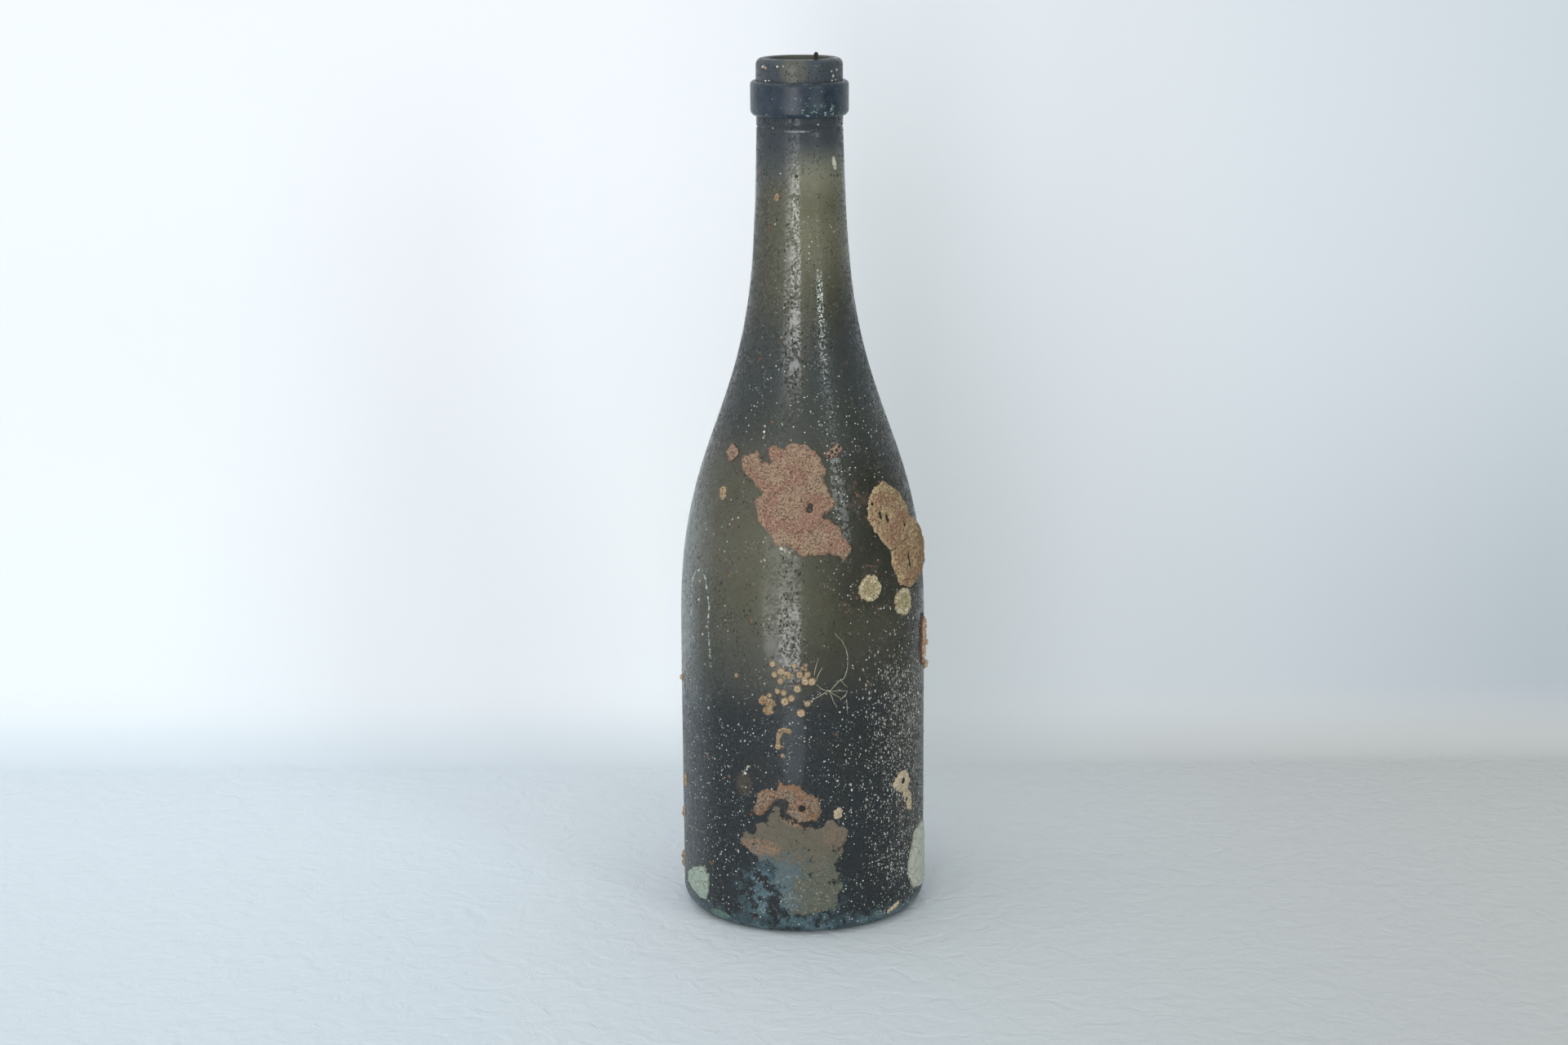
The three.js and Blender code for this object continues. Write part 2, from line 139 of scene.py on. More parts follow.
# %% [markdown]
# ## Shares and coats
# A finish is a body colour under coats, and each coat covers a share of the surface, from 0 to
# 1. A share is the product of its parts. A part written as (value, low, high) is a soft step,
# 0 at low and 1 at high, and high may be the smaller number of the two.

# %% Shares and coats
def joined(operation, parts):
    whole = None
    for part in parts:
        if isinstance(part, tuple):
            value, low, high = part
            part = node("MapRange", {0: value, 1: low, 2: high}, interpolation_type="SMOOTHSTEP")
        whole = part if whole is None else node("Math", {0: whole, 1: part}, operation=operation)
    return whole


def share(*parts):
    return joined("MULTIPLY", parts)


def most(*parts):
    return joined("MAXIMUM", parts)


def total(*parts):
    return joined("ADD", parts)


def over(body, coat, *parts):
    """The body colour under a coat that covers the share of these parts."""
    return node("Mix", {0: share(*parts), 6: body, 7: coat}, data_type="RGBA")


def graded(value, *stops):
    """Colours that follow a value: pairs of its size and the colour there."""
    shade = stops[0][1]
    for (low, _), (high, code) in zip(stops, stops[1:]):
        shade = over(shade, code, node("MapRange", {0: value, 1: low, 2: high}))
    return shade


print("ready: share, most, total, over, graded")

# %% [markdown]
# ## The stage
# A sheet of pale card runs forward as the floor and curves up behind the bottle as a wall. The
# wall begins about 15 cm behind the bottle.

# %% Floor and backdrop
WALL_BEHIND = 0.15
SWEEP_RADIUS = 0.022
STAGE_HALF_WIDTH = 1.6
STAGE_FRONT = -0.3
STAGE_TOP = 1.4
SWEEP_STEPS = 12


def stage_sheet():
    line = [(STAGE_FRONT, 0.0), (WALL_BEHIND - SWEEP_RADIUS, 0.0)]
    for step in range(1, SWEEP_STEPS + 1):
        angle = math.radians(90 * step / SWEEP_STEPS)
        line.append((
            WALL_BEHIND - SWEEP_RADIUS + SWEEP_RADIUS * math.sin(angle),
            SWEEP_RADIUS - SWEEP_RADIUS * math.cos(angle),
        ))
    line.append((WALL_BEHIND, STAGE_TOP))
    points = [(side * STAGE_HALF_WIDTH, y, z) for y, z in line for side in (-1, 1)]
    faces = [(2 * i, 2 * i + 1, 2 * i + 3, 2 * i + 2) for i in range(len(line) - 1)]
    mesh = bpy.data.meshes.new("stage_sheet")
    mesh.from_pydata(points, [], faces)
    mesh.shade_smooth()
    sheet = bpy.data.objects.new("stage_sheet", mesh)
    bpy.context.scene.collection.objects.link(sheet)
    return sheet


sheet = stage_sheet()
print("stage sheet:", len(sheet.data.polygons), "faces")

# %% [markdown]
# The card is bluish white, and its colours are painted light and shade: the wall is painted brighter
# to the left, where the window is, and low on its left; the floor is painted darker to the right and
# nearer the front, and the wall's foot at the right darker still, near the bottle's shadow. Soft
# creases run over its floor. From behind, a camera sees through it, so that the bottle's back can
# be looked at.

# %% Pale card
def pale_card():
    material = begin(bpy.data.materials.new("pale_card"))
    place = node("NewGeometry").outputs["Position"]
    axes = node("SeparateXYZ", {0: place}).outputs
    # Painted shade: the floor darkens to the right and nearer the front.
    shade_to_the_right = (axes["X"], -0.2, 0.25)
    floor = over("#d5dee5", "#babbba", shade_to_the_right)
    nearer_shade = over("#ccd6dd", "#b4b6b5", shade_to_the_right)
    floor = over(floor, nearer_shade, node("MapRange", {0: axes["Y"], 1: 0.05, 2: -0.14}))
    # Painted light and shade low on the wall: paler at its left foot, darker at its right foot.
    low_light_and_shade = (axes["Z"], 0.17, 0.03)
    left = over("#e8eaed", "#eef1f3", low_light_and_shade)
    right = over("#c4cbd1", "#b6bdc4", low_light_and_shade)
    # Painted light: the wall is paler to the left, towards the window.
    wall = over(left, right, node("MapRange", {0: axes["X"], 1: -0.05, 2: 0.26}))
    card = over(floor, wall, (axes["Z"], 0.0, 0.025))
    creases = node("TexNoise", {"Vector": place, "Scale": 1 / (9 * MM), "Detail": 4, "Distortion": 1.2})
    flat = node("MapRange", {0: axes["Z"], 1: 0.001, 2: 0.0, 4: 0.5})
    normal = node("Bump", {"Height": creases, "Distance": 1.6 * MM, "Strength": flat})
    shader = node("BsdfPrincipled", {"Base Color": card, "Roughness": 0.8, "Normal": normal})
    backfacing = node("NewGeometry").outputs["Backfacing"]
    from_behind = share(backfacing, node("LightPath").outputs["Is Camera Ray"])
    clear = node("BsdfTransparent")
    one_sided = node("MixShader", {0: from_behind, 1: shader, 2: clear})
    node("OutputMaterial", {"Surface": one_sided})
    return material


sheet.data.materials.append(pale_card())
print("pale card:", len(tree.nodes), "nodes")

# %% [markdown]
# ## The light
# The room was pale, brighter on the side of its window than on the other, and brighter above
# than below.

# %% Room
def pale_room():
    world = begin(bpy.data.worlds.new("pale_room"))
    way = node("SeparateXYZ", {0: node("TexCoord").outputs["Generated"]}).outputs
    side = node("MapRange", {0: way["X"], 1: -1.0, 2: 1.0, 3: 1.35, 4: 0.5})
    height = node("MapRange", {0: way["Z"], 1: 0.2, 2: 0.9, 3: 0.6, 4: 1.5})
    room = node("Background", {"Color": "#eef0f0", "Strength": share(side, height)})
    node("OutputWorld", {"Surface": room})
    return world


bpy.context.scene.world = pale_room()
print("room:", len(tree.nodes), "nodes")

# %% [markdown]
# A tall window stood in front, to the left of the camera, and reached below the table's edge:
# it draws the upright streak on the neck and body and throws the soft shadow to the right. A
# narrow bright opening further to the right draws the second, short streak on the shoulder.
# The windows give light but can't be seen themselves.

# %% Windows
def window_light(name, place, target, width, height, power, tint):
    lamp = bpy.data.lights.new(name, "AREA")
    lamp.shape = "RECTANGLE"
    lamp.size = width
    lamp.size_y = height
    lamp.energy = power
    lamp.color = colour(tint)[:3]
    holder = bpy.data.objects.new(name, lamp)
    aim = (Vector(target) - Vector(place)).to_track_quat("-Z", "Y")
    holder.matrix_world = Matrix.Translation(place) @ aim.to_matrix().to_4x4()
    holder.visible_camera = False
    bpy.context.scene.collection.objects.link(holder)


window_light("window", (-0.39, -1.8, 0.17), (0, 0, 0.2), 0.66, 1.72, 14.5, "#fbfcff")
window_light("window_side", (-0.93, -1.6, 0.28), (0, 0, 0.2), 0.5, 1.5, 4, "#fbfcff")
window_light("far_opening", (0.92, -1.05, 0.5), (0, 0, 0.17), 0.34, 0.5, 4.2, "#eefaf8")

# %% [markdown]
# ## The bottle's form
# Blown glass is a body of revolution. Its profile is the same as the model's, with the same
# sizes, and many more steps, so that highlights run smoothly. It goes all the way round the
# wall, outside and inside, because light passes through it.

# %% Sizes of the bottle, in millimetres
SIDE_HEIGHT = 86.8
SHOULDER_HEIGHT = 100
NECK_HEIGHT = 48.9
RING_HEIGHT = 9.9
LIP_HEIGHT = 6.4
BODY_RADIUS = 36.2
NECK_RADIUS = 12.45
NECK_FLARE = 2.4
RING_REACH = 1.8
WALL = 3.6
NECK_WALL = 3.7
BASE_THICKNESS = 5.5
HEEL_THICKNESS = 9
PUNT_DEPTH = 23
REST_WIDTH = 2.9
HEEL_ROUND = 5.6
INSIDE_HEEL_ROUND = 4.5
LIP_ROUND = 1.9
MOUTH_ROUND = 0.6
SHOULDER_FULLNESS = 49.8
SHOULDER_EASE = 40.9
NECK_FOOT_SLOPE = 0.122
NECK_EASE = 14.5
TOOL_MARK_DROP = 3.1
TOOL_MARK_DEPTH = 0.25

NECK_FOOT_RADIUS = NECK_RADIUS + NECK_FLARE
RING_RADIUS = NECK_RADIUS + RING_REACH
VALLEY_RADIUS = BODY_RADIUS - WALL - INSIDE_HEEL_ROUND
NECK_FOOT_LEVEL = SIDE_HEIGHT + SHOULDER_HEIGHT
RING_FOOT_LEVEL = NECK_FOOT_LEVEL + NECK_HEIGHT
RING_TOP_LEVEL = RING_FOOT_LEVEL + RING_HEIGHT
LIP_LEVEL = RING_TOP_LEVEL + LIP_HEIGHT
TOOL_MARK_LEVEL = RING_FOOT_LEVEL - TOOL_MARK_DROP
print("lip at level", round(LIP_LEVEL, 1), "and ring foot at level", round(RING_FOOT_LEVEL, 1))

# %% [markdown]
# A profile is a list of points, each a radius and a level, in millimetres. It is put together
# from round corners, straight runs, smooth curves and domes.

# %% Pieces of a profile
def corner(centre_radius, centre_level, round_radius, from_angle, to_angle, steps=10):
    angles = np.radians(np.linspace(from_angle, to_angle, steps + 1))
    return np.column_stack([
        centre_radius + round_radius * np.cos(angles),
        centre_level + round_radius * np.sin(angles),
    ])


def bezier(controls, steps):
    along = np.linspace(0, 1, steps + 1)[:, None]
    points = [np.array(c, float) * np.ones((steps + 1, 2)) for c in controls]
    while len(points) > 1:
        points = [a * (1 - along) + b * along for a, b in zip(points, points[1:])]
    return points[0]


def straight(start, end, step):
    count = max(1, round(math.dist(start, end) / step))
    along = np.linspace(0, 1, count + 1)[1:-1, None]
    return np.array(start) * (1 - along) + np.array(end) * along


def dome(rim_radius, rim_level, top_level, steps=16):
    angle = np.linspace(0, math.pi / 2, steps + 1)[1:-1]
    return np.column_stack([
        rim_radius * np.cos(angle), rim_level + (top_level - rim_level) * np.sin(angle),
    ])


print("a quarter round has", len(corner(0, 0, 1, 0, 90)), "points")

# %% [markdown]
# One smooth curve makes the shoulder and another the neck, and a shallow tool mark runs round
# the neck just below the ring. Inside, the wall's thickness is set off square to that curve.

# %% The glass profile
def shoulder_and_neck():
    shoulder = bezier([
        (BODY_RADIUS, SIDE_HEIGHT),
        (BODY_RADIUS, SIDE_HEIGHT + SHOULDER_FULLNESS),
        (NECK_FOOT_RADIUS + NECK_FOOT_SLOPE * SHOULDER_EASE, NECK_FOOT_LEVEL - SHOULDER_EASE),
        (NECK_FOOT_RADIUS, NECK_FOOT_LEVEL),
    ], 60)
    neck = bezier([
        (NECK_FOOT_RADIUS, NECK_FOOT_LEVEL),
        (NECK_FOOT_RADIUS - NECK_FOOT_SLOPE * NECK_EASE, NECK_FOOT_LEVEL + NECK_EASE),
        (NECK_RADIUS, TOOL_MARK_LEVEL - 0.5),
    ], 30)
    return np.vstack([shoulder, neck[1:]])


def outside_profile():
    curve = shoulder_and_neck()
    heel = corner(BODY_RADIUS - HEEL_ROUND, HEEL_ROUND, HEEL_ROUND, -90, 0, 14)
    tool_mark = np.array([
        (NECK_RADIUS - TOOL_MARK_DEPTH, TOOL_MARK_LEVEL - 0.15),
        (NECK_RADIUS - TOOL_MARK_DEPTH, TOOL_MARK_LEVEL + 0.1),
        (NECK_RADIUS, TOOL_MARK_LEVEL + 0.35),
    ])
    lip = corner(NECK_RADIUS - LIP_ROUND, LIP_LEVEL - LIP_ROUND, LIP_ROUND, 0, 90, 12)
    return np.vstack([
        heel, straight(heel[-1], curve[0], 2), curve, tool_mark,
        straight(tool_mark[-1], lip[0], 1.5), lip,
    ])


def inside_profile():
    curve = shoulder_and_neck()
    along = np.gradient(curve, axis=0)
    along /= np.linalg.norm(along, axis=1)[:, None]
    narrowed = (BODY_RADIUS - curve[:, 0]) / (BODY_RADIUS - NECK_RADIUS)
    thickness = (WALL + (NECK_WALL - WALL) * narrowed)[:, None]
    inner = (curve + np.column_stack([-along[:, 1], along[:, 0]]) * thickness)[::-1]
    bore = NECK_RADIUS - NECK_WALL
    mouth = corner(bore + MOUTH_ROUND, LIP_LEVEL - MOUTH_ROUND, MOUTH_ROUND, 90, 180, 6)
    heel = corner(VALLEY_RADIUS, HEEL_THICKNESS + INSIDE_HEEL_ROUND, INSIDE_HEEL_ROUND, 0, -90, 12)
    return np.vstack([
        mouth, straight(mouth[-1], inner[0], 2), inner, straight(inner[-1], heel[0], 4), heel,
    ])


OUTSIDE = outside_profile()
print("profile steps:", len(OUTSIDE), "outside")

# %% [markdown]
# A revolve turns the profile's points into rings and joins each ring to the next. A second
# function, the wander, says how far each point lies inside its true radius. The shoulder of a
# hand-blown bottle is never quite in line with its foot: here it leans by a third of a mm.

# %% Revolve
def to_mesh(name, points, faces):
    mesh = bpy.data.meshes.new(name)
    mesh.from_pydata(points, [], faces)
    mesh.validate()
    mesh.shade_smooth()
    piece = bpy.data.objects.new(name, mesh)
    bpy.context.scene.collection.objects.link(piece)
    return piece


LEAN_MM = 0.3
LEAN_LEVEL = 165
LEAN_SPREAD = 55


def lean(level):
    """How far the blown shoulder stands off the axis, to the right, in millimetres."""
    return LEAN_MM * np.exp(-((level - LEAN_LEVEL) / LEAN_SPREAD) ** 2)


def ring_faces(start, rings, sides, closed=False):
    """Faces from each ring of points to the next, and from the last to the first if closed."""
    faces = []
    for ring_number in range(rings if closed else rings - 1):
        near, far = start + ring_number * sides, start + (ring_number + 1) % rings * sides
        for step in range(sides):
            after = (step + 1) % sides
            faces.append((near + step, near + after, far + after, far + step))
    return faces


def revolve(name, profile, steps, wander, low_pole=None, high_pole=None, closed=False):
    angles = np.linspace(0, 2 * math.pi, steps, endpoint=False)
    points = []
    for radius, level in profile:
        for angle in angles:
            x, y = math.sin(angle), -math.cos(angle)
            r = radius - wander(radius, level, x, y)
            points.append(((r * x + lean(level)) * MM, r * y * MM, level * MM))
    faces = ring_faces(0, len(profile), steps, closed)
    for pole, row in ((low_pole, 0), (high_pole, len(profile) - 1)):
        if pole is None:
            continue
        points.append((0, 0, pole * MM))
        for step in range(steps):
            pair = (row * steps + (step + 1) % steps, row * steps + step)
            faces.append((*(pair if row == 0 else pair[::-1]), len(points) - 1))
    return to_mesh(name, points, faces)


print("the shoulder leans by", round(float(lean(SIDE_HEIGHT + SHOULDER_HEIGHT / 2)), 2), "mm")

# %% [markdown]
# The wall of a hand-blown bottle wanders by a tenth of a millimetre, in slow waves with quicker
# ones on them. Round the body the wander only takes glass away, so that the surface never
# leaves the space that the model gives it. A number at each point says whether it is outside.

# %% The glass body
GLASS_STEPS = 192
SLOW_WAVE_MM = 0.066
QUICK_WAVE_MM = 0.03
INWARD_BELOW = 135


def glass_wander(radius, level, x, y):
    """How far the wall lies inside its true radius, in millimetres."""
    slow = noise.noise(Vector((x * 1.6, y * 1.6, level / 38)))
    quick = noise.noise(Vector((x * 4, y * 4, level / 14 + 7)))
    inward = min(max((INWARD_BELOW - level) / 40, 0), 1)
    return SLOW_WAVE_MM * (inward + slow) + QUICK_WAVE_MM * (inward + quick)


def glass_body():
    rest_inner = BODY_RADIUS - HEEL_ROUND - REST_WIDTH
    under = dome(rest_inner, 0, PUNT_DEPTH)[::-1]
    floor = dome(VALLEY_RADIUS, HEEL_THICKNESS, PUNT_DEPTH + BASE_THICKNESS)
    profile = np.vstack([under, [(rest_inner, 0)], OUTSIDE, inside_profile(), floor])
    body = revolve(
        "bottle", profile, GLASS_STEPS, glass_wander,
        low_pole=PUNT_DEPTH, high_pole=PUNT_DEPTH + BASE_THICKNESS,
    )
    weathered = np.zeros(len(body.data.vertices))
    weathered[:(len(under) + 1 + len(OUTSIDE)) * GLASS_STEPS] = 1
    layer = body.data.attributes.new("outside", "FLOAT", "POINT")
    layer.data.foreach_set("value", weathered)
    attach(body, "root")
    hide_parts("glass_body")
    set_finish(body, "bottle_glass")
    return body


bottle = glass_body()
print("bottle:", len(bottle.data.vertices), "points")

# %% [markdown]
# The ring was wound on as a hot thread of glass and pressed with a tool, so its outside is
# flat, with rounded edges, and wanders more than the blown wall does.

# %% The ring below the lip
RING_GAP = 0.05
RING_FOOT_ROUND = 1.6
RING_TOP_ROUND = 1.2
RING_WAVE_MM = 0.12


def ring_wander(radius, level, x, y):
    if radius < NECK_RADIUS + 1:
        return 0
    return RING_WAVE_MM * (1 + noise.noise(Vector((x * 2.5, y * 2.5, level / 6 + 3))))


def string_ring():
    inner = NECK_RADIUS + RING_GAP
    foot = corner(
        RING_RADIUS - RING_FOOT_ROUND, RING_FOOT_LEVEL + RING_FOOT_ROUND, RING_FOOT_ROUND, -90, 0)
    top = corner(
        RING_RADIUS - RING_TOP_ROUND, RING_TOP_LEVEL - RING_TOP_ROUND, RING_TOP_ROUND, 0, 90)
    profile = np.vstack([
        [(inner, RING_FOOT_LEVEL)], foot, straight(foot[-1], top[0], 0.8), top,
        [(inner, RING_TOP_LEVEL)],
    ])
    ring = revolve("string_ring_glass", profile, GLASS_STEPS, ring_wander, closed=True)
    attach(ring, "root")
    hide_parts("string_ring")
    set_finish(ring, "ring_glass")
    return ring


ring = string_ring()
print("ring:", len(ring.data.vertices), "points")

# %% [markdown]
# ## Places on the glass
# Each growth is placed by how far around the glass it lies, measured along the glass from the
# line down its front, and by its level above the table. Its own shape is drawn flat, in
# millimetres across and up from its middle, and then wrapped onto the glass.

# %% Wrapping a flat drawing onto the glass
def glass_radius(level):
    return np.interp(level, OUTSIDE[:, 1], OUTSIDE[:, 0])


def on_glass(place, x, y, lift):
    """Points in metres at (x, y) from a growth's middle, lifted square to the glass."""
    around, middle_level = place
    level = middle_level + y
    radius = glass_radius(level)
    slope = (glass_radius(level + 1) - glass_radius(level - 1)) / 2
    steep = np.hypot(1, slope)
    angle = around / glass_radius(middle_level) + x / radius
    reach = radius + lift / steep
    return MM * np.stack([
        reach * np.sin(angle) + lean(level), -reach * np.cos(angle), level - lift * slope / steep,
    ], axis=-1)


print("glass radius at level 150:", round(float(glass_radius(150)), 1), "mm")

# %% [markdown]
# ## How far inside its outline a point lies
# A growth is drawn by an outline, by round lobes, or by a line with a width. Three functions
# answer the same question for a whole grid of points: how many millimetres inside the drawing
# does a point lie? Outside, the answer is negative.

# %% Outline, lobes and line
def from_segment(x, y, ax, ay, bx, by):
    """How far along the line from a to b each point lies, from 0 to 1, and how far away."""
    along = np.clip(((x - ax) * (bx - ax) + (y - ay) * (by - ay))
                    / ((bx - ax) ** 2 + (by - ay) ** 2), 0, 1)
    return along, np.hypot(x - ax - along * (bx - ax), y - ay - along * (by - ay))


def inside_outline(x, y, outline):
    nearest = np.full(x.shape, np.inf)
    within = np.zeros(x.shape, bool)
    for (ax, ay), (bx, by) in zip(outline, outline[1:] + outline[:1]):
        nearest = np.minimum(nearest, from_segment(x, y, ax, ay, bx, by)[1])
        if ay != by:
            crosses = (ay > y) != (by > y)
            within ^= crosses & (x < ax + (y - ay) * (bx - ax) / (by - ay))
    return np.where(within, nearest, -nearest)


def inside_lobes(x, y, lobes):
    return np.max([r - np.hypot(x - cx, y - cy) for cx, cy, r in lobes], axis=0)


def inside_line(x, y, line):
    depth = np.full(x.shape, -np.inf)
    for (ax, ay, ar), (bx, by, br) in zip(line, line[1:]):
        along, away = from_segment(x, y, ax, ay, bx, by)
        depth = np.maximum(depth, ar + along * (br - ar) - away)
    return depth


GRAIN_SOFTNESS = 0.8
GRAIN_STEP = 2.1
GRAIN_OCTAVES = 4


def grain(x, y, size, seed):
    """Cloudy noise from about -1 to 1, whose largest lumps are size millimetres wide."""
    flat = [
        noise.fractal(Vector((px / size, py / size, seed)), GRAIN_SOFTNESS, GRAIN_STEP, GRAIN_OCTAVES)
        for px, py in zip(x.ravel(), y.ravel())
    ]
    return np.reshape(flat, x.shape)


middle = np.zeros((1, 1))
print("inside a lobe of 2 mm, at its middle:", inside_lobes(middle, middle, [(0, 0, 2)])[0, 0], "mm")

# %% [markdown]
# ## A patch of growth
# A patch is a height field over a fine square grid, wrapped onto the glass. The squares that lie
# wholly under the glass are left out. The mesh also carries three numbers at each point for
# its material: how far in from the rim it is, how high it stands, and how far it lies from the
# nearest hole.

# %% Wrap a patch
SINK = 0.3


def wrap_patch(name, place, x, y, lift, rim, hole, slot, nodes):
    points = on_glass(place, x, y, np.maximum(lift, -2 * SINK)).reshape(-1, 3)
    rows, columns = x.shape
    corners = np.arange(rows * columns).reshape(rows, columns)
    quads = np.stack([corners[:-1, :-1], corners[:-1, 1:], corners[1:, 1:], corners[1:, :-1]], axis=-1)
    quads = quads.reshape(-1, 4)
    quads = quads[lift.ravel()[quads].max(axis=1) > -SINK]
    used, renumbered = np.unique(quads, return_inverse=True)
    piece = to_mesh(name, points[used].tolist(), renumbered.reshape(-1, 4).tolist())
    for label, values in (("rim", rim), ("height", lift), ("hole", hole)):
        layer = piece.data.attributes.new(label, "FLOAT", "POINT")
        layer.data.foreach_set("value", values.ravel()[used])
    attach(piece, "root")
    if nodes:
        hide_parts(*nodes)
    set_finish(piece, slot)
    return piece


print("below the glass, a patch is cut off at", SINK, "mm")

# %% [markdown]
# Inside its outline, a growth rises quickly to its thickness, with lumps, grains and pores.
# Outside it dives below the glass, so its rim meets the glass in a clean ragged line.

# %% A growth
DIVE = 1.3
NO_HOLE = 9.0


def growth(name, place, thickness, slot, outline=None, lobes=None, line=None, holes=(),
           edge=0.35, ragged=(0.5, 2), lumps=(0.3, 3), grains=(0.1, 0.5), step=0.3, shape=None,
           nodes=()):
    """One growth. Ragged, lumps and grains are pairs of strength and size."""
    drawn = np.array(outline or [(cx + side * r, cy + side * r) for cx, cy, r in lobes or line
                                 for side in (-1, 1)])
    margin = 1 + ragged[0]
    low, high = drawn.min(axis=0) - margin, drawn.max(axis=0) + margin
    x, y = np.meshgrid(np.arange(low[0], high[0], step), np.arange(low[1], high[1], step))
    seed = sum(map(ord, name)) * 0.37
    if outline:
        rim = inside_outline(x, y, outline)
    else:
        rim = inside_lobes(x, y, lobes) if lobes else inside_line(x, y, line)
    rim = rim + ragged[0] * grain(x, y, ragged[1], seed)
    hole = np.full(x.shape, NO_HOLE)
    for hole_x, hole_y, hole_radius in holes:
        hole = np.minimum(hole, np.hypot(x - hole_x, y - hole_y) - hole_radius)
    rim = np.minimum(rim, hole)
    rounded = 1 - np.exp(-np.maximum(rim, 0) / edge)
    lumpy = 1 - lumps[0] * (0.5 - 0.5 * grain(x, y, lumps[1], seed + 5))
    if shape:
        lumpy = lumpy * shape(x, y, rim)
    rise = thickness * rounded * lumpy + grains[0] * rounded * grain(x, y, grains[1], seed + 9)
    lift = np.where(rim > 0, np.clip(rise, 0.02, thickness), DIVE * rim)
    return wrap_patch(name, place, x, y, lift, rim, hole, slot, nodes)


print("a point outside a rim lies", DIVE, "times as deep as it is far from the rim")

# %% [markdown]
# ## The large crusts
# The crusts are colonies of lime-building animals. The upper one is thin and granular with a
# lobed rim and one hole; the pair at the right shoulder are thicker, and the lower of the two
# grew in rings. The skin near the foot is a thin film that frays out.

# %% Large crusts
UPPER = (-3.2, SIDE_HEIGHT + 42.7)
growth(
    "upper_crust_dressed", UPPER, 1.25, "pink_crust", nodes=["upper_crust"],
    outline=[
        (11.5, 0.5), (8.5, 5.7), (9.9, 7.9), (7.6, 11.8), (4.2, 14.9), (-1.4, 15.3), (-2.2, 13.5),
        (-5.4, 14.7), (-7.4, 13.5), (-6.7, 10), (-9, 9.6), (-10.7, 12.8), (-16, 10.6), (-15.8, 7.3),
        (-12.3, 5.3), (-8.7, 1.4), (-11, -1.1), (-10, -6.2), (-5.7, -10.1), (-4.2, -13.3),
        (-0.2, -12.9), (3.3, -15.8), (11.4, -15.1), (15.6, -17.2), (17.8, -14.5), (13.9, -8),
        (9.4, -4.8), (13, -1.4),
    ],
    holes=[(5.3, -1.7, 0.6), (5.1, -2.7, 0.75)], edge=0.3, ragged=(0.55, 1.7), lumps=(0.5, 4),
    grains=(0.18, 0.5), step=0.22,
)
growth(
    "shoulder_crust_dressed", (26.8, SIDE_HEIGHT + 36.9), 1.4, "brown_crust",
    nodes=["shoulder_crust"],
    outline=[
        (12.4, -4.3), (11, -0.1), (8.1, 4.2), (4.7, 6.6), (1.3, 8.6), (-3.4, 7), (-6.1, 3.9),
        (-7.2, -0.4), (-5.4, -4.5), (-3.5, -7.4), (-0.3, -10.8), (2.2, -10.4), (6.1, -9.9), (9, -7.2),
    ],
    holes=[(-2.8, 0.1, 0.45), (-2.7, -0.9, 0.5), (-0.2, -1.2, 0.5), (-0.1, -2.3, 0.5),
           (-5, 3.1, 0.4), (7.6, -4.8, 0.6)],
    edge=0.35, ragged=(0.5, 1.4), lumps=(0.55, 3), grains=(0.25, 0.8), step=0.25,
)


def growth_rings(x, y, rim):
    wave = np.cos(2 * math.pi * (rim + 0.3 * grain(x, y, 3, 4)) / 1.5)
    return 0.86 + 0.14 * wave


growth(
    "side_crust_dressed", (35.8, SIDE_HEIGHT + 22.5), 1.4, "brown_crust", nodes=["side_crust"],
    outline=[
        (18.7, 1.1), (12.9, 7.5), (7.1, 10.7), (2.2, 7.2), (-1, 5), (-3.8, 4.1), (-6.4, 2.9),
        (-7.1, -0.5), (-5.3, -4.2), (-4.1, -6.9), (1.1, -8.9), (7.8, -7.5), (14, -4.6),
    ],
    holes=[(1.1, 0.9, 0.35), (1, 0, 0.45), (1.1, -0.9, 0.5), (1.2, -1.9, 0.5), (1.6, -2.6, 0.4)],
    shape=growth_rings, edge=0.4, ragged=(0.5, 1.2), lumps=(0.35, 4), grains=(0.16, 0.8), step=0.25,
)
growth(
    "olive_skin_dressed", (-2.2, 26.9), 0.5, "olive_skin", nodes=["olive_skin"],
    outline=[
        (15.3, 2.7), (14.3, 5.6), (10.5, 8.7), (6.7, 6.6), (2.4, 7.5), (-2.1, 9.1), (-3.7, 12.5),
        (-7.1, 12.6), (-8.9, 7.2), (-11.7, 7.1), (-12.2, 3.8), (-15.1, 3.9), (-18.2, 2.3),
        (-16.8, -0.2), (-13.3, -2.6), (-11.5, -4.9), (-7.5, -5.9), (-6.1, -12.9), (-3.3, -19.6),
        (3.4, -20.8), (11.2, -19.6), (13.2, -13.1), (12.2, -5.5), (13.2, -0.6),
    ],
    edge=0.5, ragged=(1.1, 2.6), lumps=(0.5, 3), grains=(0.08, 0.8), step=0.3,
)

# %% [markdown]
# ## Small crusts and ridges
# The arch lies above the skin, and the yellow crust further to the right. The hook below the
# barnacles and the strip on the right edge run along lines.

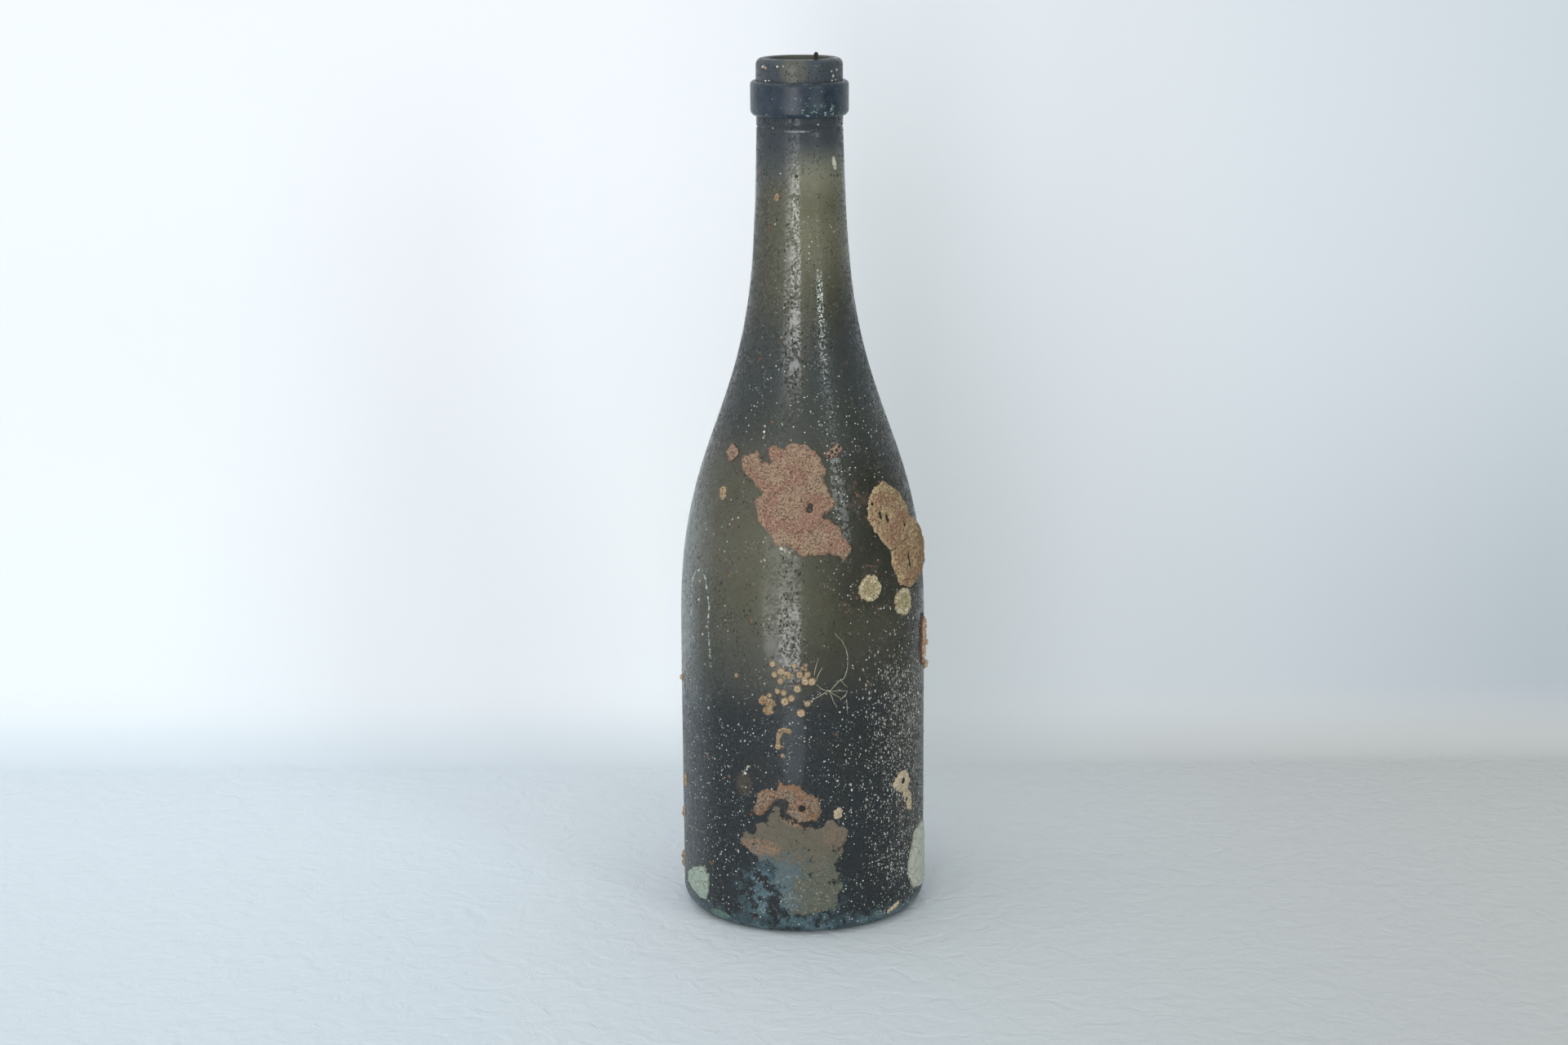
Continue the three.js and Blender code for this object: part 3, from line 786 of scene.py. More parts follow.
# %% Small crusts
growth(
    "lower_arch_dressed", (-4.5, 40.5), 1.3, "pink_crust", nodes=["lower_arch"],
    outline=[
        (-10.7, -2.9), (-9.3, 1), (-9.6, 2.7), (-6.3, 4.3), (-3.3, 3.8), (-2.6, 6.8), (-1.2, 5.4),
        (1.9, 6), (5, 3.6), (8.5, 1.5), (9.7, -2.5), (8.3, -5), (3, -5.4), (0.7, -3.7),
        (-0.7, -2), (0.2, 0.3), (-1.2, 1.7), (-4.3, 1), (-6.1, -1.7), (-7.6, -3.8), (-9.4, -4),
    ],
    holes=[(3.9, -1.1, 0.8)], edge=0.3, ragged=(0.45, 1.2), lumps=(0.5, 2), grains=(0.25, 0.7),
    step=0.22,
)
growth(
    "hook_crust_dressed", (-6.2, 61.6), 0.95, "barnacle_shell", nodes=["hook_crust"],
    line=[(-1.3, -3.4, 0.45), (-1.2, -1, 0.6), (-0.6, 0.9, 0.7), (0.8, 1.3, 0.7), (2, 0.7, 0.6)],
    ragged=(0.25, 0.9), lumps=(0.6, 0.9), grains=(0.15, 0.5), edge=0.25, step=0.15,
)
growth(
    "yellow_crust_dressed", (32.3, 41.9), 0.85, "yellow_crust", nodes=["yellow_crust"],
    outline=[
        (-1.8, 2.3), (0.3, 3.6), (2.6, 3.9), (4.3, 2.6), (5.2, 0), (4.3, -1.1), (3.9, -2.2),
        (5.6, -3.6), (6.2, -6), (5.8, -9.2), (4, -8.4), (2.8, -5.8), (1.8, -2.8), (-1.1, -1.5),
        (-2.9, 0.3),
    ],
    holes=[(1.4, 1, 0.8), (3.1, -5.2, 0.5)], ragged=(0.5, 1), lumps=(0.6, 1.4),
    grains=(0.2, 0.5), edge=0.3, step=0.2,
)
growth(
    "edge_strip_dressed", (50.3, 82), 1.55, "pink_crust", nodes=["edge_strip"],
    line=[(-1.4, 5.6, 2.2), (-1, 2, 2.7), (-1.8, -2, 2.4), (-2.2, -5.6, 1.6)],
    ragged=(0.7, 1.3), lumps=(1.0, 1.5), grains=(0.3, 0.6), edge=0.5, step=0.2,
)

# %% [markdown]
# The knobs are two to four round lobes grown into one. They are lumpy as a sponge, and the one
# that stands above the upper crust, at the right, has open holes.

# %% Knobs
KNOBS = {
    "pink_knob": ((-22.6, SIDE_HEIGHT + 54.2), 1.1, "pink_crust", [
        (-0.4, 1.1, 1.4), (-1, -0.2, 1.4), (1.1, -0.1, 1.4), (0.5, -1.5, 1.2)]),
    "porous_knob": ((8.4, SIDE_HEIGHT + 54.8), 1.1, "pink_crust", [
        (-0.7, -0.2, 1.2), (0.5, 0.4, 1.6), (1.9, 1.4, 1.4)]),
    "orange_crumb": ((-25.9, SIDE_HEIGHT + 42.7), 0.85, "brown_crust", [
        (-0.2, 0.7, 1.2), (0.2, -0.7, 1.2)]),
    "low_knob": ((9.8, 37.4), 0.9, "brown_crust", [(0, -0.6, 1.2), (0.3, 0.4, 1.1)]),
    "folded_lump": ((-10.5, 70.1), 1.45, "yellow_crust", [
        (-1.1, 1.2, 1.4), (1, 0.4, 1.3), (0.1, -1.7, 1.5)]),
    "neck_crumb": ((-7.2, RING_FOOT_LEVEL - 22.4), 0.75, "brown_crust", [
        (0.1, 0.3, 0.7), (-0.1, -0.4, 0.6)]),
    "left_edge_knob": ((-48.3, 39.3), 0.85, "brown_crust", [(0, 0.8, 1.2), (0.2, -0.8, 1.1)]),
    "left_edge_scale": ((-51.8, 28.5), 0.65, "brown_crust", [(0, 0.6, 1.1), (0, -0.7, 1.1)]),
    "left_foot_tuft": ((-55.6, 12.3), 0.95, "brown_crust", [(0, 1, 1.4), (0.2, -1.1, 1.3)]),
}
KNOB_HOLES = [(-0.9, -0.5, 0.26), (0, 0.6, 0.28), (0.9, -0.2, 0.26), (1.5, 1, 0.28), (2.3, 1.9, 0.24)]
for node_name, (place, thickness, slot, lobes) in KNOBS.items():
    growth(node_name + "_dressed", place, thickness, slot, lobes=lobes, nodes=[node_name],
           holes=KNOB_HOLES if node_name == "porous_knob" else (),
           ragged=(0.35, 1), lumps=(0.9, 0.9), grains=(0.2, 0.5), edge=0.3, step=0.14)
print("knobs:", len(KNOBS))

# %% [markdown]
# ## Barnacles
# A barnacle is a low ring of shell plates round an opening. The function below gives the height
# of such a ring at each point of a patch: it climbs to the edge of the opening and drops inside.
# Grown close together, barnacles squash each other, and the nearest one wins.

# %% Barnacles
CRATER = ((0, 0.3), (0.3, 0.35), (0.46, 1), (0.6, 0.95), (1, 0.15), (1.3, 0.1))
PLATES = 6
PLATE_DEPTH = 0.06


def crater_shape(lobes):
    distances, heights = zip(*CRATER)

    def shape(x, y, rim):
        best = np.zeros(x.shape)
        for cx, cy, radius in lobes:
            away = np.hypot(x - cx, y - cy) / radius
            plates = PLATE_DEPTH * np.cos(PLATES * np.arctan2(y - cy, x - cx) + cx)
            best = np.maximum(best, np.interp(away + plates, distances, heights))
        return best
    return shape


def barnacles(name, place, thickness, lobes, nodes):
    growth(name, place, thickness, "barnacle_shell", lobes=lobes, nodes=nodes,
           shape=crater_shape(lobes), ragged=(0.12, 0.8), lumps=(0.25, 0.6), grains=(0.08, 0.4),
           edge=0.12, step=0.1)


CLUSTERS = {
    "barnacle_cluster_left": ((-5.7, 79.3), 1.05, [
        (-2.6, 0, 0.9), (-0.8, 1, 1.05), (0.4, 0.5, 0.7), (1.4, 0.3, 0.75), (1.5, -0.7, 0.6),
        (2.4, -0.1, 0.55), (-0.9, -1.7, 0.85), (0.2, -0.6, 0.6)]),
    "barnacle_cluster_right": ((0.7, 78.6), 1.15, [
        (-1.8, 0.9, 1), (-1, 2.7, 0.55), (-0.1, 2.4, 0.5), (0, 3.6, 0.45), (0.4, 0.9, 0.9),
        (-0.5, -0.3, 0.9), (-0.2, -1.2, 1.1), (1.7, -1.2, 1.1)]),
    "barnacle_cluster_middle": ((-5.6, 72.6), 1.05, [
        (-1.9, 1.7, 0.8), (-0.1, 1.3, 0.85), (0.2, -1.2, 1.2), (2.1, -0.2, 1)]),
}
for node_name, (place, thickness, lobes) in CLUSTERS.items():
    barnacles(node_name + "_dressed", place, thickness, lobes, [node_name])

SINGLES = [
    (-8.9, 82.4, 0.9, 0.8), (-2.6, 82, 0.8, 0.8), (-8.4, 79.3, 0.8, 0.8), (-6.7, 77.3, 0.8, 0.8),
    (-1.8, 75.2, 1.1, 1), (-9.9, 73, 0.7, 0.7), (1.1, 70.8, 0.9, 0.9), (-0.8, 68, 1.2, 1),
    (-7.5, 57.8, 0.9, 0.8), (-6.2, 55.1, 0.6, 0.6), (-20.5, 77.8, 0.6, 0.4), (54, 73.2, 1.5, 1.3),
    (55.4, 79.5, 1.2, 1.3), (-51.4, 70.3, 1, 0.8),
]
for number, (around, level, radius, height) in enumerate(SINGLES, 1):
    barnacles(f"barnacle_{number}_dressed", (around, level), height, [(0, 0, radius)],
              [f"barnacle_{number}"])
print("barnacles:", len(SINGLES), "single and", len(CLUSTERS), "clusters")

# %% [markdown]
# Where a large barnacle came off, its base plate stayed behind: a pale disc with a raised,
# notched rim and fine ribs that run out from its middle.

# %% Base plates
def base_plate_shape(radius, stretch):
    def shape(x, y, rim):
        angle = np.arctan2(y, x)
        away = np.hypot(x / stretch, y) / radius
        dish = np.interp(away, (0, 0.25, 0.6, 0.8, 0.92, 1), (0.62, 0.45, 0.5, 0.7, 1, 0.85))
        bent = 22 * angle + 2 * grain(x, y, 2, 8)
        ribs = 0.14 * np.cos(bent) * np.clip(away * 1.5 - 0.3, 0, 1)
        return dish + ribs + 0.06 * np.cos(2 * math.pi * away * 4)
    return shape


def base_plate(name, node_name, place, radius, stretch):
    round_rim = [
        (radius * stretch * math.cos(a), radius * math.sin(a))
        for a in np.linspace(0, 2 * math.pi, 40, endpoint=False)
    ]
    growth(name, place, 0.8, "barnacle_base", outline=round_rim, nodes=[node_name],
           shape=base_plate_shape(radius, stretch), ragged=(0.5, 1.3), lumps=(0.4, 1.4),
           grains=(0.14, 0.5), edge=0.15, step=0.14)


base_plate("base_plate_round", "barnacle_base_1", (20.3, SIDE_HEIGHT + 16.4), 3.75, 1)
base_plate("base_plate_oval", "barnacle_base_2", (33.8, SIDE_HEIGHT + 10.2), 4, 0.95)

# %% [markdown]
# ## Lime flakes and the worm's trace
# Flakes of lime lie flat with broken edges. On the left, a tube worm left a thin pale line that
# goes up, over and a long way down.

# %% Flakes and trace
FLAKES = {
    "lime_flake_left": ((-37.3, 10.5), [
        (-8.6, 0.8), (-4.9, 3.3), (0, 5.4), (3.1, 6.1), (3.6, 3.9), (5, 4.1), (4.7, -0.9),
        (3.6, -4.4), (0.2, -4.2), (-3.8, -3.4), (-8.6, -2.1)]),
    "lime_flake_right": ((42.6, 16.5), [
        (1.8, 9.6), (8.3, 9.2), (13.8, -1.1), (13.6, -7), (12, -10.4), (5, -10.5), (-2.9, -8.7),
        (-5.5, -4.7), (-6.2, -0.7), (-4.6, 2.5), (-2.9, 5.9), (-1.9, 8.6)]),
    "neck_flake": ((10.8, RING_FOOT_LEVEL - 13), [
        (-0.9, -0.4), (-0.5, 1.8), (0.4, 1.9), (0.5, 0.9), (1.1, 0.4), (1, -1.8), (0.1, -1.9)]),
}
for node_name, (place, outline) in FLAKES.items():
    small = node_name == "neck_flake"
    growth(node_name + "_dressed", place, 0.42, "lime_flake", outline=outline, nodes=[node_name],
           ragged=(0.25, 0.8) if small else (0.4, 2), lumps=(0.3, 4), grains=(0.03, 0.8),
           edge=0.06, step=0.12 if small else 0.25)
growth(
    "worm_tube_dressed", (-32.1, SIDE_HEIGHT + 6.4), 0.4, "lime_flake", nodes=["worm_tube"],
    line=[
        (-8.5, -1.1, 0.15), (-9.1, 0.6, 0.15), (-8.3, 10.1, 0.25), (-6.3, 12.3, 0.25),
        (-4, 13.2, 0.28), (-2.1, 12.6, 0.28), (-1.1, 11, 0.25), (0, 7.3, 0.2), (1.1, 3.4, 0.15),
        (0.8, -1.5, 0.15), (1.1, -5.9, 0.2), (1.4, -10.7, 0.2), (1.7, -14.4, 0.25),
    ],
    ragged=(0.22, 0.9), lumps=(0.5, 1), grains=(0.05, 0.4), edge=0.2, step=0.2,
)
print("flakes:", len(FLAKES), "and the worm's line")

# %% [markdown]
# ## Threads and crumbs
# A hydroid, a small sea animal like a tuft of threads, dried onto the glass beside the
# barnacles. Its threads are a sixth of a millimetre thick and spring from one point. Each
# follows a smooth line through a few stops, measured from that point.

# %% Lines of the threads
THREAD_RADIUS = 0.085
THREAD_SIDES = 6
HUB = (7.4, 74.5)
THREADS = [
    [(0, 0), (2.6, -0.1), (5.3, -0.5)],
    [(0, 0), (1.7, -1.4), (3.5, -2.6)],
    [(3.5, -2.6), (4.5, -1.7), (5.3, -0.5)],
    [(0, 0), (0.9, -2.6), (2.2, -5.3)],
    [(0.4, 0.2), (2.7, 2.6), (4.2, 3.5), (5.1, 6), (5.3, 8.4), (5.1, 10.9), (4, 13.9), (1.6, 16.9)],
    [(3.1, 3.2), (4.2, 1.9), (5.3, 0.6)],
    [(-0.4, 0.1), (-2, 0.7), (-3.8, 1.9)],
    [(-0.6, 0), (-3, -1.4), (-5.8, -2.9)],
    [(-4.4, 4.7), (-4, 7.2), (-3.2, 9.8)],
    [(-3.7, 3.8), (-3.1, 5.4), (-2.1, 7)],
    [(5.1, -3), (5.1, -5.2), (5.4, -7.4)],
    [(-0.8, 0.3), (0, 0.1), (0.5, -0.3)],
    [(-0.5, -0.4), (0.1, 0.2), (0.6, 0.4)],
]


def smooth_line(stops, steps=8):
    stops = np.array(stops, float)
    padded = np.vstack([2 * stops[0] - stops[1], stops, 2 * stops[-1] - stops[-2]])
    t = np.linspace(0, 1, steps, endpoint=False)[:, None]
    pieces = []
    for a, b, c, d in zip(padded, padded[1:], padded[2:], padded[3:]):
        pieces.append(0.5 * (2 * b + (c - a) * t + (2 * a - 5 * b + 4 * c - d) * t ** 2
                             + (3 * b - a - 3 * c + d) * t ** 3))
    return np.vstack([*pieces, stops[-1:]])


print("threads:", len(THREADS))

# %% [markdown]
# A thread is a tube of six sides that gets thinner toward its end, wobbles a little and bows
# out from the glass in its middle.

# %% Threads
def threads():
    points, faces = [], []
    for number, stops in enumerate(THREADS):
        line = smooth_line(stops)
        wobble = [0.12 * noise.noise(Vector((i * 0.4, number * 3.1, 0))) for i in range(len(line))]
        lift = 0.3 + 0.35 * np.sin(np.linspace(0, math.pi, len(line)))
        path = on_glass(HUB, line[:, 0] + wobble, line[:, 1] + wobble, lift)
        along = np.gradient(path, axis=0)
        along /= np.linalg.norm(along, axis=1)[:, None]
        out = path * (1, 1, 0)
        out /= np.linalg.norm(out, axis=1)[:, None]
        side = np.cross(along, out)
        faces += ring_faces(len(points), len(path), THREAD_SIDES)
        for index in range(len(path)):
            taper = THREAD_RADIUS * MM * (1 - 0.4 * index / len(path))
            for turn in range(THREAD_SIDES):
                angle = turn * 2 * math.pi / THREAD_SIDES
                points.append(path[index] + taper * (math.cos(angle) * side[index]
                                                     + math.sin(angle) * out[index]))
    piece = to_mesh("hydroid_threads", [tuple(p) for p in points], faces)
    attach(piece, "root")
    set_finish(piece, "barnacle_shell")
    return piece


print("tubes:", len(threads().data.polygons), "faces")

# %% [markdown]
# Loose crumbs of shell and lime stick here and there: a few at places that can be told, and
# the rest sown by chance, denser to the right and low down, as they are on the real bottle.

# %% Crumbs
rng = np.random.default_rng(7)
KNOWN_CRUMBS = [
    (-6.3, 116.0, 0.75), (-5.2, 115.4, 0.7), (-3.9, 114.8, 0.6), (-7.2, 116.8, 0.5),
    (-11.4, 147.6, 0.45), (-11.6, 146, 0.4), (-11.2, 149.2, 0.4), (4.8, 149.8, 0.4),
    (-35.4, 103.1, 0.55), (-35.9, 97.5, 0.5), (-31.9, 90.4, 0.4), (-33.9, 87.7, 0.4),
    (-39.3, 85.7, 0.5), (-31.5, 66, 0.45), (4.4, 114.7, 0.5),
    (-16.8, 50.8, 0.5), (-17.2, 50, 0.4), (-20.4, 24.6, 0.4), (9.8, 47.2, 0.4),
    (-11.2, 112.4, 0.4), (-12.3, 112, 0.3), (14.6, 66.4, 0.35), (4.7, 133.4, 0.35),
    (-17.8, 48.8, 0.5), (13.8, 45.6, 0.4), (14.2, 43.9, 0.45), (-8.2, 232.8, 0.3), (5.3, 233.9, 0.3),
    (-11.8, 250, 0.5), (-6.5, 250.2, 0.4), (-4.7, 250.3, 0.35), (10.8, 247.3, 0.6),
    (-10.9, 249.6, 0.4), (-12.4, 249.8, 0.45), (10.2, 248.6, 0.4), (12.6, 248.9, 0.4),
    (-9.5, 246.1, 0.35), (-11, 246, 0.35), (12, 246.1, 0.4), (10.4, 246, 0.35),
]
SOWN_CRUMBS = 420
CROWD_AROUND, CROWD_LEVEL = 28, 50
CRUMB_SIDES = 6
CRUMB_RINGS = ((1, -0.2), (0.75, 0.3), (0.3, 0.42))


def crumbs():
    spots = list(KNOWN_CRUMBS)
    while len(spots) < SOWN_CRUMBS:
        around, level = rng.uniform(-100, 100), rng.uniform(6, 225)
        far = ((around - CROWD_AROUND) / 22) ** 2 + ((level - CROWD_LEVEL) / 45) ** 2
        crowd = 0.15 + 0.85 * math.exp(-far)
        if abs(around) < math.pi * glass_radius(level) and rng.random() < crowd:
            spots.append((around, level, rng.uniform(0.1, 0.24) * rng.uniform(0.7, 1.6)))
    points, faces = [], []
    for around, level, size in spots:
        turn = rng.uniform(0, math.pi)
        wide = size * rng.uniform(0.7, 1.3)
        faces += ring_faces(len(points), len(CRUMB_RINGS), CRUMB_SIDES)
        for ring_reach, ring_lift in CRUMB_RINGS:
            for step in range(CRUMB_SIDES):
                angle = turn + step * 2 * math.pi / CRUMB_SIDES
                reach = ring_reach * rng.uniform(0.75, 1.2)
                x, y = reach * wide * math.cos(angle), reach * size * math.sin(angle)
                points.append(tuple(on_glass((around, level), x, y, ring_lift * size)))
        faces.append(tuple(range(len(points) - CRUMB_SIDES, len(points))))
    piece = to_mesh("lime_crumbs", points, faces)
    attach(piece, "root")
    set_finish(piece, "lime_flake")
    return piece


crumbs()
growth(
    "foot_crumb", (29.6, 4.6), 0.75, "yellow_crust",
    lobes=[(-1.9, -0.7, 0.6), (-0.8, -0.2, 0.7), (0.6, 0.3, 0.8), (1.9, 0.8, 0.6)],
    ragged=(0.3, 0.9), lumps=(0.8, 0.9), grains=(0.2, 0.5), edge=0.3, step=0.14,
)
print("crumbs:", SOWN_CRUMBS, "on the glass and one at the foot")

# %% [markdown]
# One crumb stands on the rim of the mouth. It is a lump of ten sides, ring above ring.

# %% The crumb on the lip
LIP_CRUMB_SIDES = 10
LIP_CRUMB_ANGLE = 28
LIP_CRUMB_RINGS = [
    (0.6, -0.3), (0.75, 0.2), (0.5, 0.6), (0.6, 0.9), (0.65, 1.4), (0.5, 1.8), (0.1, 2.15),
]


def lip_crumb():
    angle = math.radians(LIP_CRUMB_ANGLE)
    from_axis = NECK_RADIUS - LIP_ROUND - 0.5
    points = []
    for radius, height in LIP_CRUMB_RINGS:
        for step in range(LIP_CRUMB_SIDES):
            turn = step * 2 * math.pi / LIP_CRUMB_SIDES
            reach = radius * rng.uniform(0.75, 1.15)
            points.append((
                MM * (from_axis * math.sin(angle) + reach * math.cos(turn)),
                MM * (-from_axis * math.cos(angle) + reach * math.sin(turn)),
                MM * (LIP_LEVEL + height),
            ))
    faces = ring_faces(0, len(LIP_CRUMB_RINGS), LIP_CRUMB_SIDES)
    piece = to_mesh("crumb_on_lip", points, faces)
    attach(piece, "root")
    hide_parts("lip_crumb")
    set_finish(piece, "barnacle_shell")
    return piece


print("on the lip:", len(lip_crumb().data.vertices), "points")

# %% [markdown]
# ## Patterns for the finishes
# All patterns are laid out in real millimetres from the bottle's own axes, so that they keep
# their size on every piece: a noise or a cell pattern of scale 1 / size is about that many
# millimetres wide. These helpers build the patterns that several finishes use.

# %% Specks and cracks
def place_in_mm(stretch=(1, 1, 1)):
    inside = node("TexCoord").outputs["Object"]
    return node("VectorMath", {0: inside, 1: [k / MM for k in stretch]}, operation="MULTIPLY")


def specks(place, size, radius, chance):
    """Round specks: one in each cell whose random number is below the chance."""
    cell = node("TexVoronoi", {"Vector": place, "Scale": 1 / size})
    number = node("SeparateColor", {0: cell.outputs["Color"]})
    picked = node("Math", {0: number, 1: chance}, operation="LESS_THAN")
    return share((cell, radius * 1.3, radius * 0.8), picked)


def cracks(place, size, width):
    """Fine lines along the edges of bent cells."""
    bent = node("TexNoise", {"Vector": place, "Scale": 1 / (0.7 * size), "Detail": 3})
    moved = node("VectorMath", {0: bent.outputs["Color"], 1: [size] * 3}, operation="MULTIPLY")
    shifted = node("VectorMath", {0: place, 1: moved}, operation="ADD")
    edge = node("TexVoronoi", {"Vector": shifted, "Scale": 1 / size}, feature="DISTANCE_TO_EDGE")
    return share((edge, width / size, 0.2 * width / size))


print("ready: place_in_mm, specks, cracks")

# %% [markdown]
# Two more patterns say where on the bottle a thing lies: inside an ellipse on its front, or
# at a certain height above the table.

# %% Places on the bottle
def ellipse(axes, middle, reach):
    """1 inside an ellipse on the bottle's front, fading out past its rim."""
    squares = []
    for axis, centre, radius in zip("XZ", middle, reach):
        shifted = node("Math", {0: axes[axis], 1: centre}, operation="SUBTRACT")
        scaled = node("Math", {0: shifted, 1: radius}, operation="DIVIDE")
        squares.append(node("Math", {0: scaled, 1: 2.0}, operation="POWER"))
    return share((total(*squares), 1.5, 0.45), (axes["Y"], 12, 0))


def levels(axes, *stops):
    """A number that changes with the level: pairs of level in mm and value, from the table up."""
    number = stops[0][1]
    for (low, before), (high, after) in zip(stops, stops[1:]):
        if before != after:
            number = total(number, share((axes["Z"], low, high), after - before))
    return number


print("ready: ellipse, levels")

# %% [markdown]
# ## The growths' finishes
# Lime crust is matt and made of grains and pores. One function makes it from its colours: two
# that drift over it in patches some millimetres wide, light grains half a millimetre across,
# dark pores somewhat less than a millimetre apart, and the rim. Its other finishes add one
# thing each: growth rings, streaks that run down, or shade in the hollows of the surface.

# %% Lime crusts
HOLE_SHADE = "#1f1913"


def matt(body, bumps, depth_mm, rough=0.88):
    normal = node("Bump", {"Height": bumps, "Distance": depth_mm * MM, "Strength": 0.9})
    return node("BsdfPrincipled", {
        "Base Color": body, "Roughness": rough, "Specular IOR Level": 0.25, "Normal": normal,
    })


def lime_crust(name, first, second, light, pore, rim, grain_mm=0.75, patch_mm=5, pores=0.8,
               rings=None, streaks=None, hollows=None):
    material = begin(bpy.data.materials.new(name))
    place = place_in_mm()
    fine = node("TexNoise", {"Vector": place, "Scale": 1 / grain_mm, "Detail": 4, "Roughness": 0.8})
    patches = node("TexNoise", {"Vector": place, "Scale": 1 / patch_mm, "Detail": 3, "Roughness": 0.6})
    from_rim, height, hole = (
        node("Attribute", attribute_name=word).outputs["Fac"] for word in ("rim", "height", "hole"))
    body = over(first, second, (patches, 0.43, 0.57))
    body = over(body, light, (fine, 0.5, 0.62), 0.7)
    if rings:
        spacing, code = rings
        wave = node("Math", {0: share(from_rim, 2 * math.pi / spacing)}, operation="SINE")
        body = over(body, code, (wave, 0.0, 0.9), 0.45)
    if streaks:
        down = node("TexNoise", {
            "Vector": place_in_mm((1, 1, 0.3)), "Scale": 1 / 0.9, "Detail": 3, "Roughness": 0.7,
        })
        body = over(body, streaks, (down, 0.5, 0.62), 0.6)
    body = over(body, rim, (from_rim, 0.7, 0.1), 0.7)
    if hollows:
        low, high, code = hollows
        body = over(body, code, (height, high, low), 0.9)
    dots = specks(place, 0.8, 0.26, 0.8)
    dark = most((fine, 0.48, 0.37), share(dots, pores))
    body = over(body, pore, dark, (patches, 0.25, 0.5), 0.8)
    body = over(body, HOLE_SHADE, (hole, 0.3, 0.0), 0.95)
    bumps = node("Math", {0: fine, 1: share(dots, 0.6)}, operation="SUBTRACT")
    node("OutputMaterial", {"Surface": matt(body, bumps, 0.3)})
    return material


print("ready: lime_crust")

# %% [markdown]
# The colours of each crust, in the order first, second, light, pore and rim, are those of the
# real one: from the pinkish upper crust to the cream plates of the barnacles.

# %% Colours of the crusts
FINISHES = {
    "pink_lime_crust": lime_crust(
        "pink_lime_crust", "#876758", "#8e7864", "#b39c84", "#33201a", "#967f69",
        grain_mm=0.5, patch_mm=8),
    "orange_lime_crust": lime_crust(
        "orange_lime_crust", "#806350", "#837668", "#ad9880", "#35241d", "#8f725c",
        grain_mm=0.5, patch_mm=4, pores=0.9),
    "brown_lime_crust": lime_crust(
        "brown_lime_crust", "#8e6d57", "#a08b6b", "#bda88a", "#3a2818", "#b19d7d",
        grain_mm=0.6, patch_mm=6, streaks="#7b6149"),
    "ringed_lime_crust": lime_crust(
        "ringed_lime_crust", "#8e7056", "#a58e6f", "#c2ab87", "#3f2f20", "#b49f7c",
        grain_mm=0.6, patch_mm=5, pores=0.8, rings=(1.5, "#77634a")),
    "mottled_lime_crust": lime_crust(
        "mottled_lime_crust", "#b98674", "#c0ab8f", "#e0cfb2", "#3c2e26", "#b59e8a",
        grain_mm=0.5, patch_mm=2, hollows=(0.3, 0.6, "#4d3a30")),
    "yellow_lime_crust": lime_crust(
        "yellow_lime_crust", "#b3a388", "#c1b49c", "#dbcfb9", "#6a5440", "#c6b498",
        grain_mm=0.4, patch_mm=2, pores=0.4),
    "spongy_lime_crust": lime_crust(
        "spongy_lime_crust", "#907668", "#9a8574", "#bea98f", "#3c261c", "#9f8570",
        grain_mm=0.4, patch_mm=2, hollows=(0.12, 0.45, "#3f2b22")),
    "tan_shell": lime_crust(
        "tan_shell", "#c4ac8b", "#cfbc9e", "#e6d8bc", "#6f5741", "#b39f82",
        grain_mm=0.35, patch_mm=1.6, pores=0.25, hollows=(0.15, 0.35, "#8f7a62")),
    "cream_shell": lime_crust(
        "cream_shell", "#b0a280", "#dad0b4", "#ede6ce", "#544c38", "#d2c7a9",
        grain_mm=0.45, patch_mm=2, pores=0.7, rings=(2.1, "#8d8062"), hollows=(0.3, 0.45, "#9a8c69")),
}
print("crust finishes:", len(FINISHES))

# %% [markdown]
# The skin near the foot is thinner. Its upper part is a tan film, with grainy orange patches at
# its rims. Lower down it turns blue-grey at the left and olive grey with pale grains at the
# right, and it frays out into gaps through which the glass shows.

# %% The thin skin
olive_skin = begin(bpy.data.materials.new("olive_lime_skin"))
place = place_in_mm()
axes = node("SeparateXYZ", {0: place}).outputs
grains = node("TexNoise", {"Vector": place, "Scale": 1 / 0.55, "Detail": 4, "Roughness": 0.78})
patches = node("TexNoise", {"Vector": place, "Scale": 1 / 5, "Detail": 4, "Roughness": 0.65})
crumbs_here = node("TexNoise", {"Vector": place, "Scale": 1 / 0.75, "Detail": 5, "Roughness": 0.85})
swing = share(node("Math", {0: patches, 1: 0.5}, operation="SUBTRACT"), 22)

high = over("#645e51", "#686155", (patches, 0.42, 0.58))
grainy = most(
    share(ellipse(axes, (10.3, 30.5), (5, 4.5)), 0.35), ellipse(axes, (0.5, 36.5), (7, 3)),
    ellipse(axes, (-13, 27), (6, 2.4)),
)
high = over(high, "#957560", grainy, (grains, 0.42, 0.56), 0.85)
low = over("#595c52", "#53656b", (total(axes["X"], swing), 1, -5))
low = over(low, "#6b6a5d", (grains, 0.5, 0.62), 0.5)
body = over(low, high, (total(axes["Z"], swing), 20, 27))
body = over(body, "#3a3a31", (grains, 0.46, 0.36), 0.7)
pale = most((crumbs_here, 0.56, 0.63), specks(place, 2.3, 0.12, 0.4))
body = over(body, "#b3ab97", pale, (axes["Z"], 29, 15), (patches, 0.36, 0.52), 0.75)
print("thin skin:", len(tree.nodes), "nodes")

# %% [markdown]
# How much of the skin is left at a place is a sum: the patches and grains, less something near
# its rim and near the foot. Where the sum is small, a clear surface takes the skin's place.

